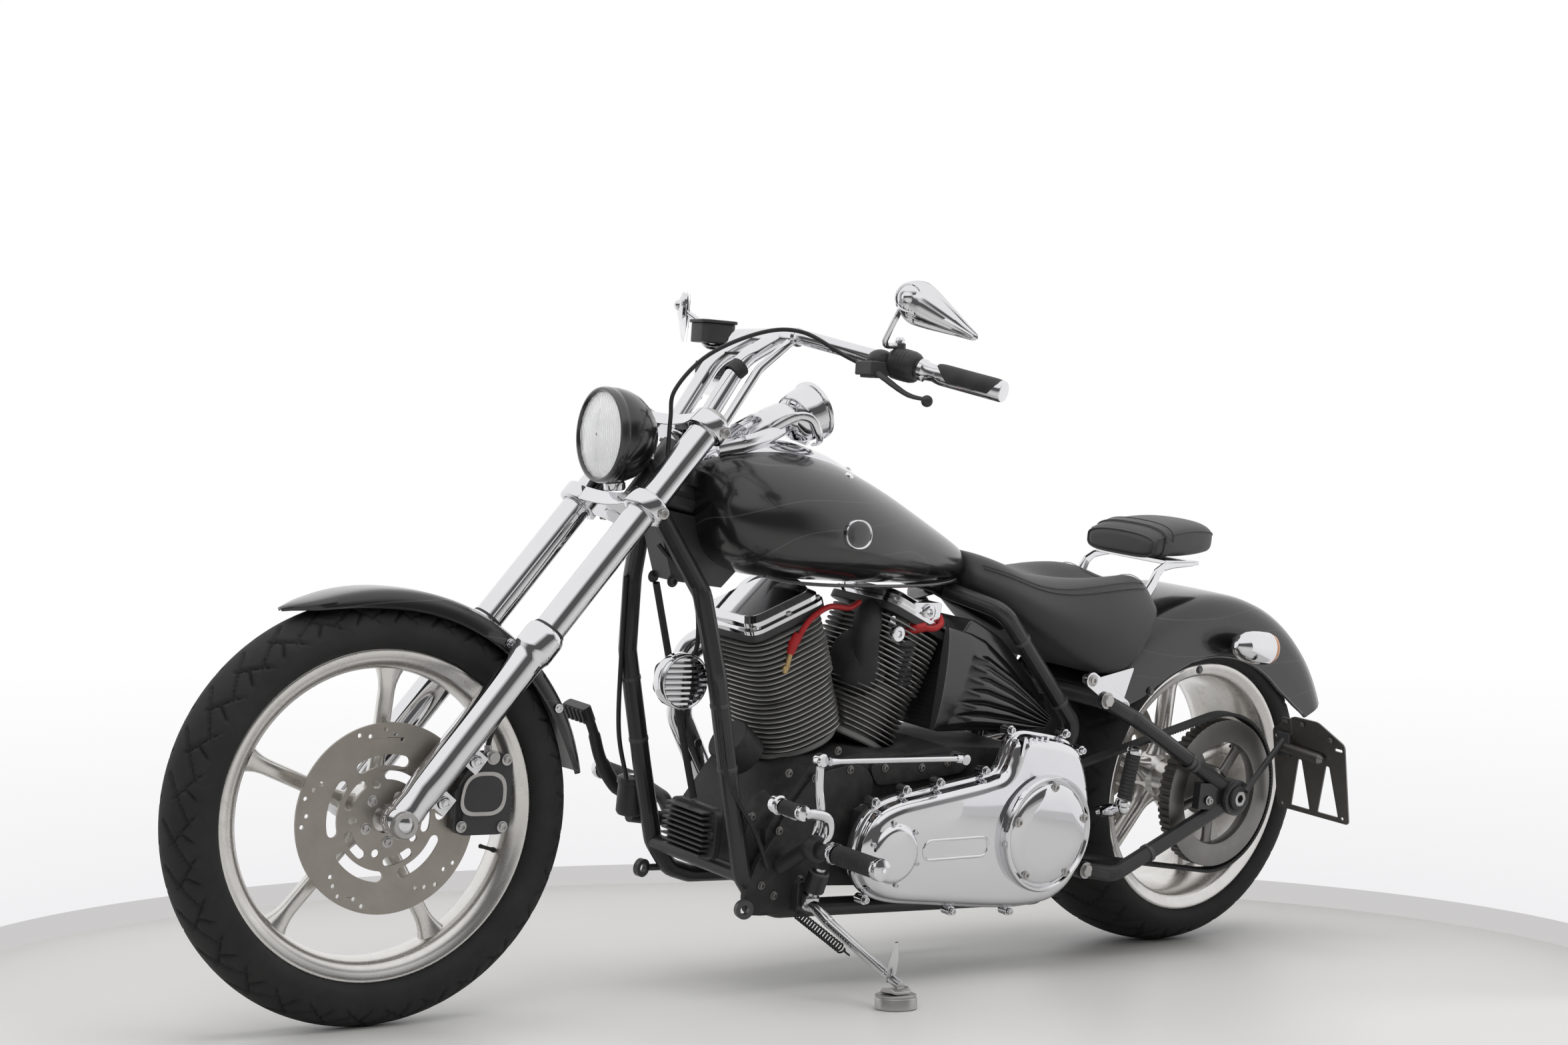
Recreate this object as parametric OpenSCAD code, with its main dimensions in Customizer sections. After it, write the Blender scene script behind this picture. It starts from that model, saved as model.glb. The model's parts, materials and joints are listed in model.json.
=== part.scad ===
// Long-wheelbase chopper motorcycle, parked on its side stand.
// Bike axes: X forward, Y to the rider's left, Z up from the ground line, origin below the rear axle.
// The whole bike is then leaned onto its stand, and the fork is turned about the steering head.

/* [Stance] */
// Distance between the two axles
wheelbase = 1758; // [1600:5:1900]
// Lean onto the side stand, in degrees
lean = 9.4; // [7:0.1:12]
// How far the fork is turned to the right at rest, in degrees
steer_turn = 6.75; // [3:0.25:10]
// Rake of the steering head, in degrees
head_rake = 36.5; // [34:0.5:38]
// Angle of the fork tubes from vertical, in degrees
fork_rake = 38.9; // [37:0.1:41]
// How far the front axle lies ahead of the steering axis
axle_lead = 78.6; // [60:1:90]

/* [Front wheel] */
// Outer radius of the front tyre
front_tyre_r = 328.5; // [315:0.5:345]
// Width of the front tyre
front_tyre_w = 113; // [95:1:125]
// Radius of the front rim's flange
front_flange_r = 255.5; // [245:0.5:262]
// Width between the outer faces of the front rim's flanges
front_rim_w = 80; // [70:1:90]
// Radius of the front brake disc
front_disc_r = 146; // [130:1:160]
// Distance of the front disc's middle from the wheel's middle plane
front_disc_y = 60.5; // [58:0.5:70]

/* [Rear wheel] */
// Outer radius of the rear tyre
rear_tyre_r = 321.5; // [312:0.5:330]
// Width of the rear tyre
rear_tyre_w = 240; // [200:1:240]
// Radius of the rear rim's flange
rear_flange_r = 243; // [235:0.5:250]
// Width between the outer faces of the rear rim's flanges
rear_rim_w = 216; // [180:1:216]
// Radius of the belt pulley
pulley_r = 149; // [120:1:155]
// Width of the drive belt
belt_w = 26; // [20:1:30]

/* [Axles] */
// Radius of both axles
axle_r = 12.5; // [10:0.5:14]
// Radius of the bore through both hollow axles
axle_bore_r = 8; // [5:0.5:9]
// Running clearance between an axle and its hub
axle_clear = 0.05; // [0.02:0.01:0.1]

/* [Fork] */
// Distance between the fork legs
leg_gap = 210; // [205:1:230]
// Diameter of the fork tubes
tube_d = 49; // [41:1:52]
// Diameter of the fork sliders
slider_d = 64; // [58:1:70]
// Length of the sliders above the axle
slider_len = 372; // [330:1:400]
// Height of the upper clamp along the leg, from the axle to its top face
upper_clamp_h = 815; // [780:1:840]
// Height of the lower clamp along the leg, from the axle to its top face
lower_clamp_h = 645; // [600:1:680]
// Thickness of the upper and lower clamps
clamp_t = 30; // [22:1:36]

/* [Handlebar] */
// Diameter of the handlebar tube
bar_d = 31.8; // [25:0.2:38]
// Diameter of the grips
grip_d = 37; // [33:0.5:42]
// Half of the straight middle stretch of the bar
bar_mid = 100; // [80:1:120]
// Distance of the bar's end from the bike's middle plane
bar_reach = 432; // [380:1:460]
// Height of the handlebar's middle
bar_h = 1110; // [1060:1:1140]
// Radius of a mirror's wide end
mirror_r = 35; // [20:1:60]

/* [Frame] */
// Diameter of the frame's cradle tubes
frame_tube_d = 32; // [28:1:38]
// Diameter of the backbone
backbone_d = 56; // [45:1:65]
// Distance of the downtubes and lower rails from the bike's middle plane
rail_y = 126; // [115:1:140]
// Height of the lower rails' middle above the ground line
rail_h = 156; // [140:1:175]
// Diameter of the swingarm tubes
arm_tube_d = 30; // [26:1:36]
// Distance of the swingarm's tubes from the bike's middle plane
arm_y = 192; // [190:1:205]

/* [Engine] */
// Height of the crankshaft above the ground line
crank_h = 292; // [280:1:305]
// Half of the angle between the cylinders, in degrees
half_vee = 22.5; // [20:0.5:26]
// Width of a finned cylinder
cylinder_w = 176; // [150:1:185]
// Radius of the derby cover
derby_r = 99; // [80:1:105]

/* [Body] */
// Half of the fuel tank's greatest width
tank_half_w = 158; // [140:1:170]
// Radius of the rear fender's outer skin
rear_fender_r = 378; // [360:1:390]
// Half of the rear fender's width
rear_fender_half_w = 131; // [129:1:140]
// Clearance between the front fender's skin and the tyre
front_fender_gap = 14; // [8:1:22]
// Thickness of both fenders' sheet
fender_t = 4; // [2.5:0.5:6]
// Height of the pillion pad's underside
pad_low = 765; // [750:1:820]

/* [Side stand] */
// Diameter of the puck below the stand's foot
puck_d = 68; // [60:1:80]
// Height of the puck
puck_h = 24; // [15:1:30]

/* [Hidden] */
$fn = 40;

// Where the leaned bike stands, so that the origin is below the middle of its outline
origin_x = -872;
origin_y = -141;

// Rolling stock: a tyre's crown is half an ellipse, so its support height follows from that
front_crown = front_tyre_r - front_mid_r();
rear_crown = rear_tyre_r - rear_mid_r();
steer_axis = [-sin(head_rake), 0, cos(head_rake)];
turned_y = [-cos(head_rake) * sin(-steer_turn), cos(steer_turn), -sin(head_rake) * sin(-steer_turn)];
front_tip = -turned_y[1] * sin(lean) + turned_y[2] * cos(lean);
front_support = front_mid_r() * sqrt(1 - front_tip * front_tip)
    + sqrt(pow(front_tyre_w / 2 * front_tip, 2) + pow(front_crown, 2) * (1 - front_tip * front_tip));
rear_support = rear_mid_r() * cos(lean)
    + sqrt(pow(rear_tyre_w / 2 * sin(lean), 2) + pow(rear_crown * cos(lean), 2));
rear_axle_h = rear_support / cos(lean);
lead_arm = axle_lead * cos(head_rake);
front_axle_h = (front_support - lead_arm * sin(steer_turn) * sin(lean)) / cos(lean)
    + lead_arm * (1 - cos(steer_turn)) * sin(head_rake);
front_axle = [wheelbase, 0, front_axle_h];
steer_pivot = [wheelbase - axle_lead, 0, front_axle_h];

function front_mid_r() = front_flange_r + 22;
function rear_mid_r() = rear_flange_r + 20;

tube_r = tube_d / 2;
slider_r = slider_d / 2;
leg_y = leg_gap / 2;
bar_r = bar_d / 2;
frame_r = frame_tube_d / 2;
arm_r = arm_tube_d / 2;
front_fender_r = front_tyre_r + front_fender_gap + fender_t;
crank = [893, 0, crank_h];
neck_gap = 9;
neck_low = steer_point(lower_clamp_h + neck_gap);
neck_top = steer_point(upper_clamp_h - clamp_t - neck_gap);
neck_r = 30;
stem_r = 13;
stem_back = 30;

// Point on the steering axis beside a height measured along the fork leg
function steer_point(along) =
    steer_pivot + steer_axis * (along - axle_lead * sin(fork_rake)) / cos(fork_rake - head_rake);

// Bar axis from the end of its middle stretch to the end of the grip
bar_bend = [1085, bar_mid, bar_h];
bar_end = [928, bar_reach, bar_h - 74];
function on_bar(share) = bar_bend + share * (bar_end - bar_bend);

// ---------- helpers ----------

module stand_pose() {
    translate([origin_x, origin_y, 0])
        rotate([-lean, 0, 0])
            children();
}

module steer_pose() {
    stand_pose()
        translate(steer_pivot)
            rotate(a = -steer_turn, v = steer_axis)
                translate(-steer_pivot)
                    children();
}

// Frame that runs up the fork: origin on the front axle, Z along the legs
module fork_frame() {
    translate(front_axle)
        rotate([0, -fork_rake, 0])
            children();
}

module rod(start, end, radius) {
    run = end - start;
    length = norm(run);
    translate(start)
        rotate([0, acos(run[2] / length), atan2(run[1], run[0])])
            cylinder(r = radius, h = length);
}

function unit(v) = v / norm(v);
function corner_angle(a, b, c) = acos(unit(b - a) * unit(c - b));

// Points of the round corner from the line a-b to the line b-c
function corner_points(a, b, c, bend) =
    let (along = unit(b - a))
    let (after = unit(c - b))
    let (turn = corner_angle(a, b, c))
    let (steps = ceil(turn / 12))
    let (middle = b + unit(after - along) * bend / cos(turn / 2))
    let (out = unit(b - along * bend * tan(turn / 2) - middle))
    [for (i = [0 : steps]) middle + bend * (out * cos(turn * i / steps) + along * sin(turn * i / steps))];

// Direction of a path at one of its points
function path_way(path, i) =
    i == 0 ? unit(path[1] - path[0])
    : i == len(path) - 1 ? unit(path[i] - path[i - 1])
    : unit(unit(path[i + 1] - path[i]) + unit(path[i] - path[i - 1]));

// A direction square to the path at every point, carried along without twist
function carried(path, i, side) =
    let (way = path_way(path, i))
    let (flat = unit(side - way * (side * way)))
    i == len(path) - 1 ? [flat] : concat([flat], carried(path, i + 1, flat));

// Ring of points about one point of a path
function ring(path, i, side, radius, n) =
    let (across = cross(path_way(path, i), side))
    [for (k = [0 : n - 1]) path[i] + radius * (side * cos(360 * k / n) + across * sin(360 * k / n))];

// Two triangles between a ring and the next one
function wall_faces(low, high, k, n) =
    let (next = (k + 1) % n)
    [[low + k, high + k, high + next], [low + k, high + next, low + next]];

// Round tube along a line of points, bent to one radius at every corner
module bent_tube(points, radius, bend = 0, n = 16) {
    round = bend > 0 ? bend : 2.5 * radius;
    last = len(points) - 1;
    path = [
        points[0],
        for (i = [1 : last - 1]) each corner_points(points[i - 1], points[i], points[i + 1], round),
        points[last]
    ];
    end = len(path) - 1;
    start = path_way(path, 0);
    sides = carried(path, 0, abs(start[2]) < 0.9 ? [0, 0, 1] : [1, 0, 0]);
    polyhedron(
        points = [for (i = [0 : end]) each ring(path, i, sides[i], radius, n)],
        faces = concat(
            [[for (k = [0 : n - 1]) k]],
            [for (i = [0 : end - 1]) for (k = [0 : n - 1]) each wall_faces(i * n, (i + 1) * n, k, n)],
            [[for (k = [n - 1 : -1 : 0]) end * n + k]]
        ),
        convexity = 6
    );
}

// Side outline in X and Z, as a plate between two Y values
module side_plate(outline, y_low, y_high) {
    translate([0, y_high, 0])
        rotate([90, 0, 0])
            linear_extrude(y_high - y_low)
                polygon(outline);
}

module both_sides() {
    children();
    mirror([0, 1, 0])
        children();
}

// A disc about a wheel's axis, between two Y values
module disc_y(radius, y_low, y_high) {
    translate([0, y_low, 0])
        rotate([-90, 0, 0])
            cylinder(r = radius, h = y_high - y_low);
}

module turned_y_profile(sweep = 360) {
    rotate([-90, 0, 0])
        rotate_extrude(angle = sweep)
            children();
}

module at_rear_axle() {
    translate([0, 0, rear_axle_h])
        children();
}

module at_front_axle() {
    translate(front_axle)
        children();
}

// ---------- wheels ----------

function arc_points(steps) = [for (i = [0 : steps]) i / steps];

// Half section of a tyre: bead, side wall and crown
module tyre_section(outer_r, width, middle_r, flange_r, seat_r, bead_y) {
    half = width / 2;
    wall = [for (t = arc_points(6))
        [middle_r - (middle_r - flange_r) * cos(90 * t), bead_y + (half - bead_y) * sin(90 * t)]];
    crown = [for (t = arc_points(24))
        [middle_r + (outer_r - middle_r) * sin(180 * t), half * cos(180 * t)]];
    polygon(concat(
        [[seat_r, -bead_y], [seat_r, bead_y]],
        wall,
        [for (i = [1 : 23]) crown[i]],
        [for (i = [6 : -1 : 0]) [wall[i][0], -wall[i][1]]]
    ));
}

// Rim barrel with its two flanges
module rim_section(flange_r, seat_r, half_w, flange_t, well_r) {
    polygon([
        [seat_r, -half_w + flange_t], [flange_r, -half_w + flange_t], [flange_r, -half_w],
        [seat_r - 14, -half_w + 4], [well_r, -half_w * 0.45], [well_r, half_w * 0.45],
        [seat_r - 14, half_w - 4], [flange_r, half_w], [flange_r, half_w - flange_t],
        [seat_r, half_w - flange_t], [seat_r - 2, 0]
    ]);
}

module spokes(count, start_angle, hub_r, rim_r, root_w, tip_w, thick) {
    for (i = [0 : count - 1])
        rotate([0, -start_angle - i * 360 / count, 0])
            translate([0, thick / 2, 0])
                rotate([90, 0, 0])
                    linear_extrude(thick)
                        polygon([
                            [hub_r, -root_w / 2], [rim_r, -tip_w / 2],
                            [rim_r, tip_w / 2], [hub_r, root_w / 2]
                        ]);
}

rim_flange_t = 5;
rim_depth = 30;
front_seat_r = front_flange_r - 14;
rear_seat_r = rear_flange_r - 14;
front_bead_y = front_rim_w / 2 - rim_flange_t;
rear_bead_y = rear_rim_w / 2 - rim_flange_t;
front_hub_half = 52;
rear_hub_half = 118;

module front_tyre() {
    color([0.05, 0.05, 0.05])
        steer_pose()
            at_front_axle()
                turned_y_profile()
                    tyre_section(front_tyre_r, front_tyre_w, front_mid_r(), front_flange_r, front_seat_r,
                        front_bead_y);
}

module front_rim() {
    color([0.78, 0.78, 0.76])
        steer_pose()
            at_front_axle()
                difference() {
                    union() {
                        turned_y_profile()
                            rim_section(front_flange_r, front_seat_r, front_rim_w / 2, rim_flange_t,
                                front_seat_r - rim_depth);
                        disc_y(42, -front_hub_half, front_hub_half);
                        spokes(5, 23, 36, front_seat_r - 22, 34, 26, 24);
                    }
                    disc_y(axle_r + axle_clear, -front_hub_half - 1, front_hub_half + 1);
                }
}

module front_disc() {
    color([0.45, 0.42, 0.38])
        steer_pose()
            at_front_axle()
                difference() {
                    disc_y(front_disc_r, front_disc_y - 2.5, front_disc_y + 2.5);
                    disc_y(34, front_disc_y - 3, front_disc_y + 3);
                }
}

module rear_tyre() {
    color([0.05, 0.05, 0.05])
        stand_pose()
            at_rear_axle()
                turned_y_profile()
                    tyre_section(rear_tyre_r, rear_tyre_w, rear_mid_r(), rear_flange_r, rear_seat_r,
                        rear_bead_y);
}

module rear_rim() {
    color([0.78, 0.78, 0.76])
        stand_pose()
            at_rear_axle()
                difference() {
                    union() {
                        turned_y_profile()
                            rim_section(rear_flange_r, rear_seat_r, rear_rim_w / 2, rim_flange_t,
                                rear_seat_r - rim_depth);
                        disc_y(48, -rear_hub_half, rear_hub_half);
                        spokes(5, 20, 40, rear_seat_r - 22, 44, 34, 40);
                    }
                    disc_y(axle_r + axle_clear, -rear_hub_half - 1, rear_hub_half + 1);
                }
}

pulley_y = 154;
belt_t = 8;
belt_gap = 6;

module rear_pulley() {
    color([0.35, 0.34, 0.32])
        stand_pose()
            at_rear_axle()
                difference() {
                    union() {
                        disc_y(pulley_r - belt_gap, pulley_y - belt_w / 2 - 2, pulley_y + belt_w / 2 + 2);
                        disc_y(50, rear_hub_half, pulley_y);
                    }
                    disc_y(axle_r + axle_clear, 100, 200);
                    for (i = [0 : 4])
                        rotate([0, 72 * i, 0])
                            translate([98, 0, 0])
                                disc_y(26, 140, 175);
                }
}

rear_disc_r = 146;
rear_disc_y = -138;

module rear_disc() {
    color([0.45, 0.42, 0.38])
        stand_pose()
            at_rear_axle()
                difference() {
                    union() {
                        disc_y(rear_disc_r, rear_disc_y - 2.5, rear_disc_y + 2.5);
                        disc_y(44, rear_disc_y - 2.5, -rear_hub_half);
                    }
                    disc_y(axle_r + axle_clear, rear_disc_y - 10, -100);
                }
}

// ---------- axles, swingarm and frame ----------

module hollow_axle(half_length) {
    difference() {
        disc_y(axle_r, -half_length, half_length);
        disc_y(axle_bore_r, -half_length - 1, half_length + 1);
    }
}

rear_axle_half = 220;
front_axle_half = 126;

module rear_axle() {
    color([0.6, 0.6, 0.6])
        stand_pose()
            at_rear_axle()
                hollow_axle(rear_axle_half);
}

module front_axle() {
    color([0.7, 0.7, 0.7])
        steer_pose()
            at_front_axle()
                hollow_axle(front_axle_half);
}

arm_top = [290, arm_y, 482];
arm_low = [300, arm_y, 190];
pivot_top = [345, arm_y - 40, 512];
pivot_low = [352, arm_y - 34, 196];
pivot_r = arm_r + 2;
boss_r = 34;

module cross_tube(side_end, radius) {
    rod([side_end[0], -side_end[1] - 8, side_end[2]], side_end + [0, 8, 0], radius);
}

module swingarm() {
    color([0.07, 0.07, 0.075])
        stand_pose()
            difference() {
                union() {
                    both_sides() {
                        bent_tube([[10, arm_y, rear_axle_h + 14], arm_top, pivot_top], arm_r);
                        bent_tube([[10, arm_y, rear_axle_h - 14], arm_low, pivot_low], arm_r);
                        translate([0, 0, rear_axle_h])
                            disc_y(boss_r, arm_y - 12, arm_y + 20);
                        side_plate([[25, rear_axle_h - 24], [95, rear_axle_h - 20], [95, rear_axle_h + 30],
                            [25, rear_axle_h + 26]], arm_y - 8, arm_y + 8);
                    }
                    cross_tube(pivot_top, pivot_r);
                    cross_tube(pivot_low, pivot_r);
                }
                translate([0, 0, rear_axle_h])
                    disc_y(axle_r, -260, 260);
            }
}

backbone_bend = [650, 0, 712];
backbone_end = [470, 0, 640];
rail_front = [1040, rail_y, rail_h + 6];
rail_rear = [420, rail_y, rail_h - 14];
eye_r = 8;
eye_toe = 12;
left_eye = [1128, rail_y + 20, 172];

upright_y = 118;
seat_rail_y = 122;

module frame() {
    color([0.07, 0.07, 0.075])
        stand_pose()
            difference() {
                union() {
                    rod(neck_low, neck_top, neck_r);
                    bent_tube([neck_point(0.3), backbone_bend, backbone_end], backbone_d / 2);
                    both_sides() {
                        bent_tube([neck_point(0.25), [1243, rail_y - 28, 690], [1218, rail_y, 560],
                            [1166, rail_y, 367], [1124, rail_y, 225], [1085, rail_y, 176],
                            rail_front, rail_rear, [388, upright_y, 190],
                            [398, upright_y, 350], [378, seat_rail_y, 460], [585, seat_rail_y, 668],
                            [636, 20, 692]], frame_r);
                        eye_lug();
                        side_plate([[338, 180], [390, 180], [390, 240], [338, 214]],
                            upright_y - 12, upright_y);
                    }
                    rod([1124, -rail_y, 225], [1124, rail_y, 225], frame_r - 2);
                    rod([398, -upright_y, 350], [398, upright_y, 350], frame_r - 2);
                    side_plate([[1300, 820], [1252, 700], [1150, 690], [1120, 720], [1170, 800]], -26, 26);
                }
                rod(steer_point(lower_clamp_h - 80), steer_point(upper_clamp_h + 40), stem_r + axle_clear);
                cross_tube(pivot_low, pivot_r);
                both_sides()
                    translate(left_eye)
                        rotate([0, 0, -eye_toe])
                            disc_y(eye_r, -eye_r * 3, eye_r * 3);
            }
}

function neck_point(share) = neck_low + share * (neck_top - neck_low);

module eye_lug() {
    translate(left_eye)
        rotate([0, 0, -eye_toe])
            disc_y(eye_r + 8, -5, 5);
    rod([1085, rail_y, 176], left_eye + unit([1085, rail_y, 176] - left_eye) * (eye_r + 5), 6);
}

// ---------- engine ----------

primary_in = 172;
primary_out = 214;
case_left = 134;
belt_front = [520, 300];
belt_front_r = 52;

module engine_case() {
    color([0.10, 0.10, 0.105])
        stand_pose()
            difference() {
                union() {
                    side_plate([[1075, 205], [1090, 300], [1010, 405], [900, 425], [790, 420], [700, 430],
                        [500, 420], [470, 330], [490, 200], [720, 184]], -105, case_left);
                    side_plate([[910, 215], [910, 330], [860, 345], [640, 345], [640, 215]],
                        case_left - 1, primary_in);
                }
                for (side = [-1, 1])
                    along_cylinder(side)
                        barrel(rocker_top);
            }
}

module along_cylinder(side) {
    translate(crank)
        rotate([0, side * half_vee, 0])
            children();
}

barrel_low = 148;
barrel_top = 372;
rocker_top = 412;
vee_gap = 3;

module barrel(top) {
    translate([0, 0, barrel_low])
        cylinder(d = cylinder_w, h = top - barrel_low);
}

// A barrel ends flat where it meets the other one
module one_cylinder(side) {
    color([0.08, 0.08, 0.085])
        stand_pose()
            difference() {
                along_cylinder(side)
                    barrel(barrel_top);
                translate(crank + [side > 0 ? -300 + vee_gap : -vee_gap, -150, 0])
                    cube([300, 300, 400]);
            }
}

module front_cylinder() {
    one_cylinder(1);
}

module rear_cylinder() {
    one_cylinder(-1);
}

module rocker_boxes() {
    color([0.85, 0.85, 0.86])
        stand_pose()
            for (side = [-1, 1])
                along_cylinder(side)
                    translate([-84, -88, barrel_top])
                        cube([168, 176, rocker_top - barrel_top]);
}

module primary_cover() {
    color([0.86, 0.86, 0.87])
        stand_pose()
            translate([0, primary_out, 0])
                rotate([90, 0, 0])
                    linear_extrude(primary_out - primary_in)
                        union() {
                            translate([857, 272])
                                circle(r = 84);
                            translate([518, 283])
                                circle(r = 126);
                            polygon([[520, 157], [840, 190], [880, 352], [650, 392], [520, 408]]);
                            polygon([[600, 380], [590, 452], [560, 466], [450, 440], [424, 400],
                                [450, 300]]);
                        }
}

module derby_cover() {
    color([0.88, 0.88, 0.89])
        stand_pose()
            translate([518, 0, 285])
                disc_y(derby_r, primary_out, primary_out + 20);
}

module air_cleaner() {
    color([0.85, 0.85, 0.86])
        stand_pose()
            translate([crank[0], 0, 600]) {
                disc_y(92, -196, -150);
                disc_y(30, -150, -92);
            }
}

module exhaust_pipes() {
    color([0.85, 0.85, 0.86])
        stand_pose() {
            bent_tube([[1052, -100, 590], [1080, -150, 560], [1040, -190, 430], [960, -205, 300],
                [860, -215, 250], [500, -240, 236]], 24);
            rod([520, -239, 236], [-60, -270, 262], 44);
            bent_tube([[735, -100, 590], [720, -150, 560], [700, -200, 480], [640, -240, 380],
                [500, -260, 346]], 24);
            rod([520, -258, 345], [60, -290, 372], 44);
        }
}

oil_tank_half_w = 104;

module oil_tank_cover() {
    color([0.05, 0.05, 0.052])
        stand_pose()
            side_plate([[636, 652], [560, 618], [470, 545], [420, 486], [436, 448], [700, 448], [650, 600]],
                -oil_tank_half_w, oil_tank_half_w);
}

// ---------- tank, seat and rear end ----------

module tank_ball(x, y, z, radius) {
    translate([x, y, z])
        sphere(r = radius, $fn = 32);
}

module fuel_tank() {
    color([0.04, 0.04, 0.045])
        stand_pose()
            difference() {
                hull()
                    both_sides() {
                        tank_ball(1126, tank_half_w - 80, 850, 72);
                        tank_ball(1080, tank_half_w - 88, 800, 88);
                        tank_ball(960, tank_half_w - 84, 796, 84);
                        tank_ball(760, 66, 770, 58);
                        tank_ball(634, 26, 744, 34);
                    }
                side_plate([[560, 600], [1360, 600], [1360, 895], [1300, 882], [640, 747], [560, 747]],
                    -34, 34);
                rod(neck_point(-0.1), neck_point(1.1), 60);
                dash_body();
            }
}

module dash_body() {
    hull() {
        tank_ball(1158, 0, 926, 16);
        tank_ball(1040, 0, 946, 14);
        tank_ball(905, 0, 908, 10);
    }
}

module dash_console() {
    color([0.86, 0.86, 0.87])
        stand_pose()
            dash_body();
}

module speedometer() {
    color([0.86, 0.86, 0.87])
        stand_pose()
            difference() {
                union() {
                    rod([1014, 0, 976], [967, 0, 995], 52);
                    rod([1096, 0, 950], [990, 0, 976], 15);
                }
                dash_body();
            }
}

module seat() {
    color([0.06, 0.06, 0.065])
        stand_pose()
            difference() {
                hull() {
                    tank_ball(580, 0, 752, 14);
                    both_sides() {
                        tank_ball(560, 80, 706, 22);
                        tank_ball(400, 130, 640, 36);
                        tank_ball(330, 140, 590, 30);
                        tank_ball(250, 140, 690, 36);
                        tank_ball(215, 70, 712, 26);
                    }
                }
                translate([330, -seat_rail_y - frame_r - 3, 500])
                    cube([400, 2 * (seat_rail_y + frame_r + 3), 188]);
                translate([330, -34, 600])
                    cube([400, 68, 128]);
                at_rear_axle()
                    disc_y(rear_fender_r + 2, -140, 140);
            }
}

module pillion_pad() {
    color([0.06, 0.06, 0.065])
        stand_pose()
            hull() {
                tank_ball(60, 0, 812, 26);
                both_sides() {
                    tank_ball(150, 62, pad_low + 27, 27);
                    tank_ball(-12, 50, pad_low + 38, 29);
                }
            }
}

module pillion_bracket() {
    arm_r = 8;
    arm_z = pad_low - arm_r;
    color([0.86, 0.86, 0.87])
        stand_pose() {
            translate([50, -92, pad_low - 8.6])
                cube([96, 184, 8]);
            both_sides()
                bent_tube([[60, 92, arm_z], [148, 92, arm_z], [163, 94, 740], [163, 104, 700],
                    [163, 145, 655], [172, 147, 596], [262, 152, 522], [350, 140, 458]], arm_r);
        }
}

module horn() {
    color([0.86, 0.86, 0.87])
        stand_pose()
            translate([1262, 0, 546])
                disc_y(46, 66, 107);
}

module regulator() {
    color([0.07, 0.07, 0.075])
        stand_pose()
            translate([1142, -45, 238])
                cube([34, 130, 88]);
}

module rear_fender() {
    color([0.04, 0.04, 0.045])
        stand_pose()
            at_rear_axle()
                rotate([0, -32, 0])
                    turned_y_profile(-122)
                        polygon([
                            [262, -rear_fender_half_w], [rear_fender_r - 26, -rear_fender_half_w],
                            [rear_fender_r, -rear_fender_half_w + 30],
                            [rear_fender_r, rear_fender_half_w - 30],
                            [rear_fender_r - 26, rear_fender_half_w], [262, rear_fender_half_w],
                            [262, rear_fender_half_w - fender_t],
                            [rear_fender_r - 28, rear_fender_half_w - fender_t],
                            [rear_fender_r - fender_t, rear_fender_half_w - 32],
                            [rear_fender_r - fender_t, -rear_fender_half_w + 32],
                            [rear_fender_r - 28, -rear_fender_half_w + fender_t],
                            [262, -rear_fender_half_w + fender_t]
                        ]);
}

module rear_signals() {
    color([0.86, 0.86, 0.87])
        stand_pose()
            both_sides() {
                hull() {
                    rod([-102, 168, 606], [-50, 168, 609], 32);
                    tank_ball(-14, 168, 611, 22);
                }
                rod([-50, rear_fender_half_w, 608], [-50, 150, 608], 12);
            }
}

plate_hole_r = 3.2;

module plate_bracket() {
    color([0.12, 0.12, 0.12])
        stand_pose()
            difference() {
                union() {
                    translate([-104, 0, 488])
                        rotate([0, 15, 0])
                            rotate([90, 0, 90])
                                linear_extrude(3)
                                    polygon([[187, -34], [240, 0], [300, 0], [362, -34], [362, -196],
                                        [187, -196]]);
                    rod([-12, arm_y + 28, rear_axle_h + 12], [-114, arm_y + 28, 446], 6);
                    at_rear_axle()
                        disc_y(24, arm_y + 21, arm_y + 27);
                }
                at_rear_axle()
                    disc_y(axle_r, arm_y, arm_y + 40);
                translate([-104, 0, 488])
                    rotate([0, 15, 0])
                        for (y = [202, 347])
                            translate([-5, y, -186])
                                rotate([0, 90, 0])
                                    cylinder(r = plate_hole_r, h = 20);
            }
}

// Outline of a belt round the wheel's pulley and the gearbox pulley, at a distance outside both
function belt_outline(out) =
    let (way = belt_front - [0, rear_axle_h])
    let (turn = atan2(way[1], way[0]))
    let (wrap = acos((pulley_r - belt_front_r) / norm(way)))
    concat(
        [for (t = arc_points(20)) let (a = turn + wrap + t * (360 - 2 * wrap))
            [0, rear_axle_h] + (pulley_r + out) * [cos(a), sin(a)]],
        [for (t = arc_points(8)) let (a = turn - wrap + t * 2 * wrap)
            belt_front + (belt_front_r + out) * [cos(a), sin(a)]]
    );

module drive_belt() {
    color([0.06, 0.06, 0.06])
        stand_pose()
            difference() {
                side_plate(belt_outline(belt_t), pulley_y - belt_w / 2, pulley_y + belt_w / 2);
                side_plate(belt_outline(0), pulley_y - belt_w, pulley_y + belt_w);
            }
}

module rear_caliper() {
    color([0.06, 0.06, 0.065])
        stand_pose()
            at_rear_axle()
                difference() {
                    translate([70, -arm_y + arm_r + 1, 42])
                        cube([84, 54, 80]);
                    disc_y(rear_disc_r + 6, rear_disc_y - 8, rear_disc_y + 8);
                }
}

// ---------- foot controls ----------

module foot_control(pedal_top) {
    bent_tube([[1060, rail_y + frame_r, 240], [1054, 200, 280], [1056, 262, 292]], 14);
    rod([1056, 262, 292], [1060, 402, 294], 17);
    bent_tube([[1056, 236, 296], [1120, 250, 330], pedal_top], 8);
    rod(pedal_top + [0, -8, 0], pedal_top + [0, 66, 0], 12);
}

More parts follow.
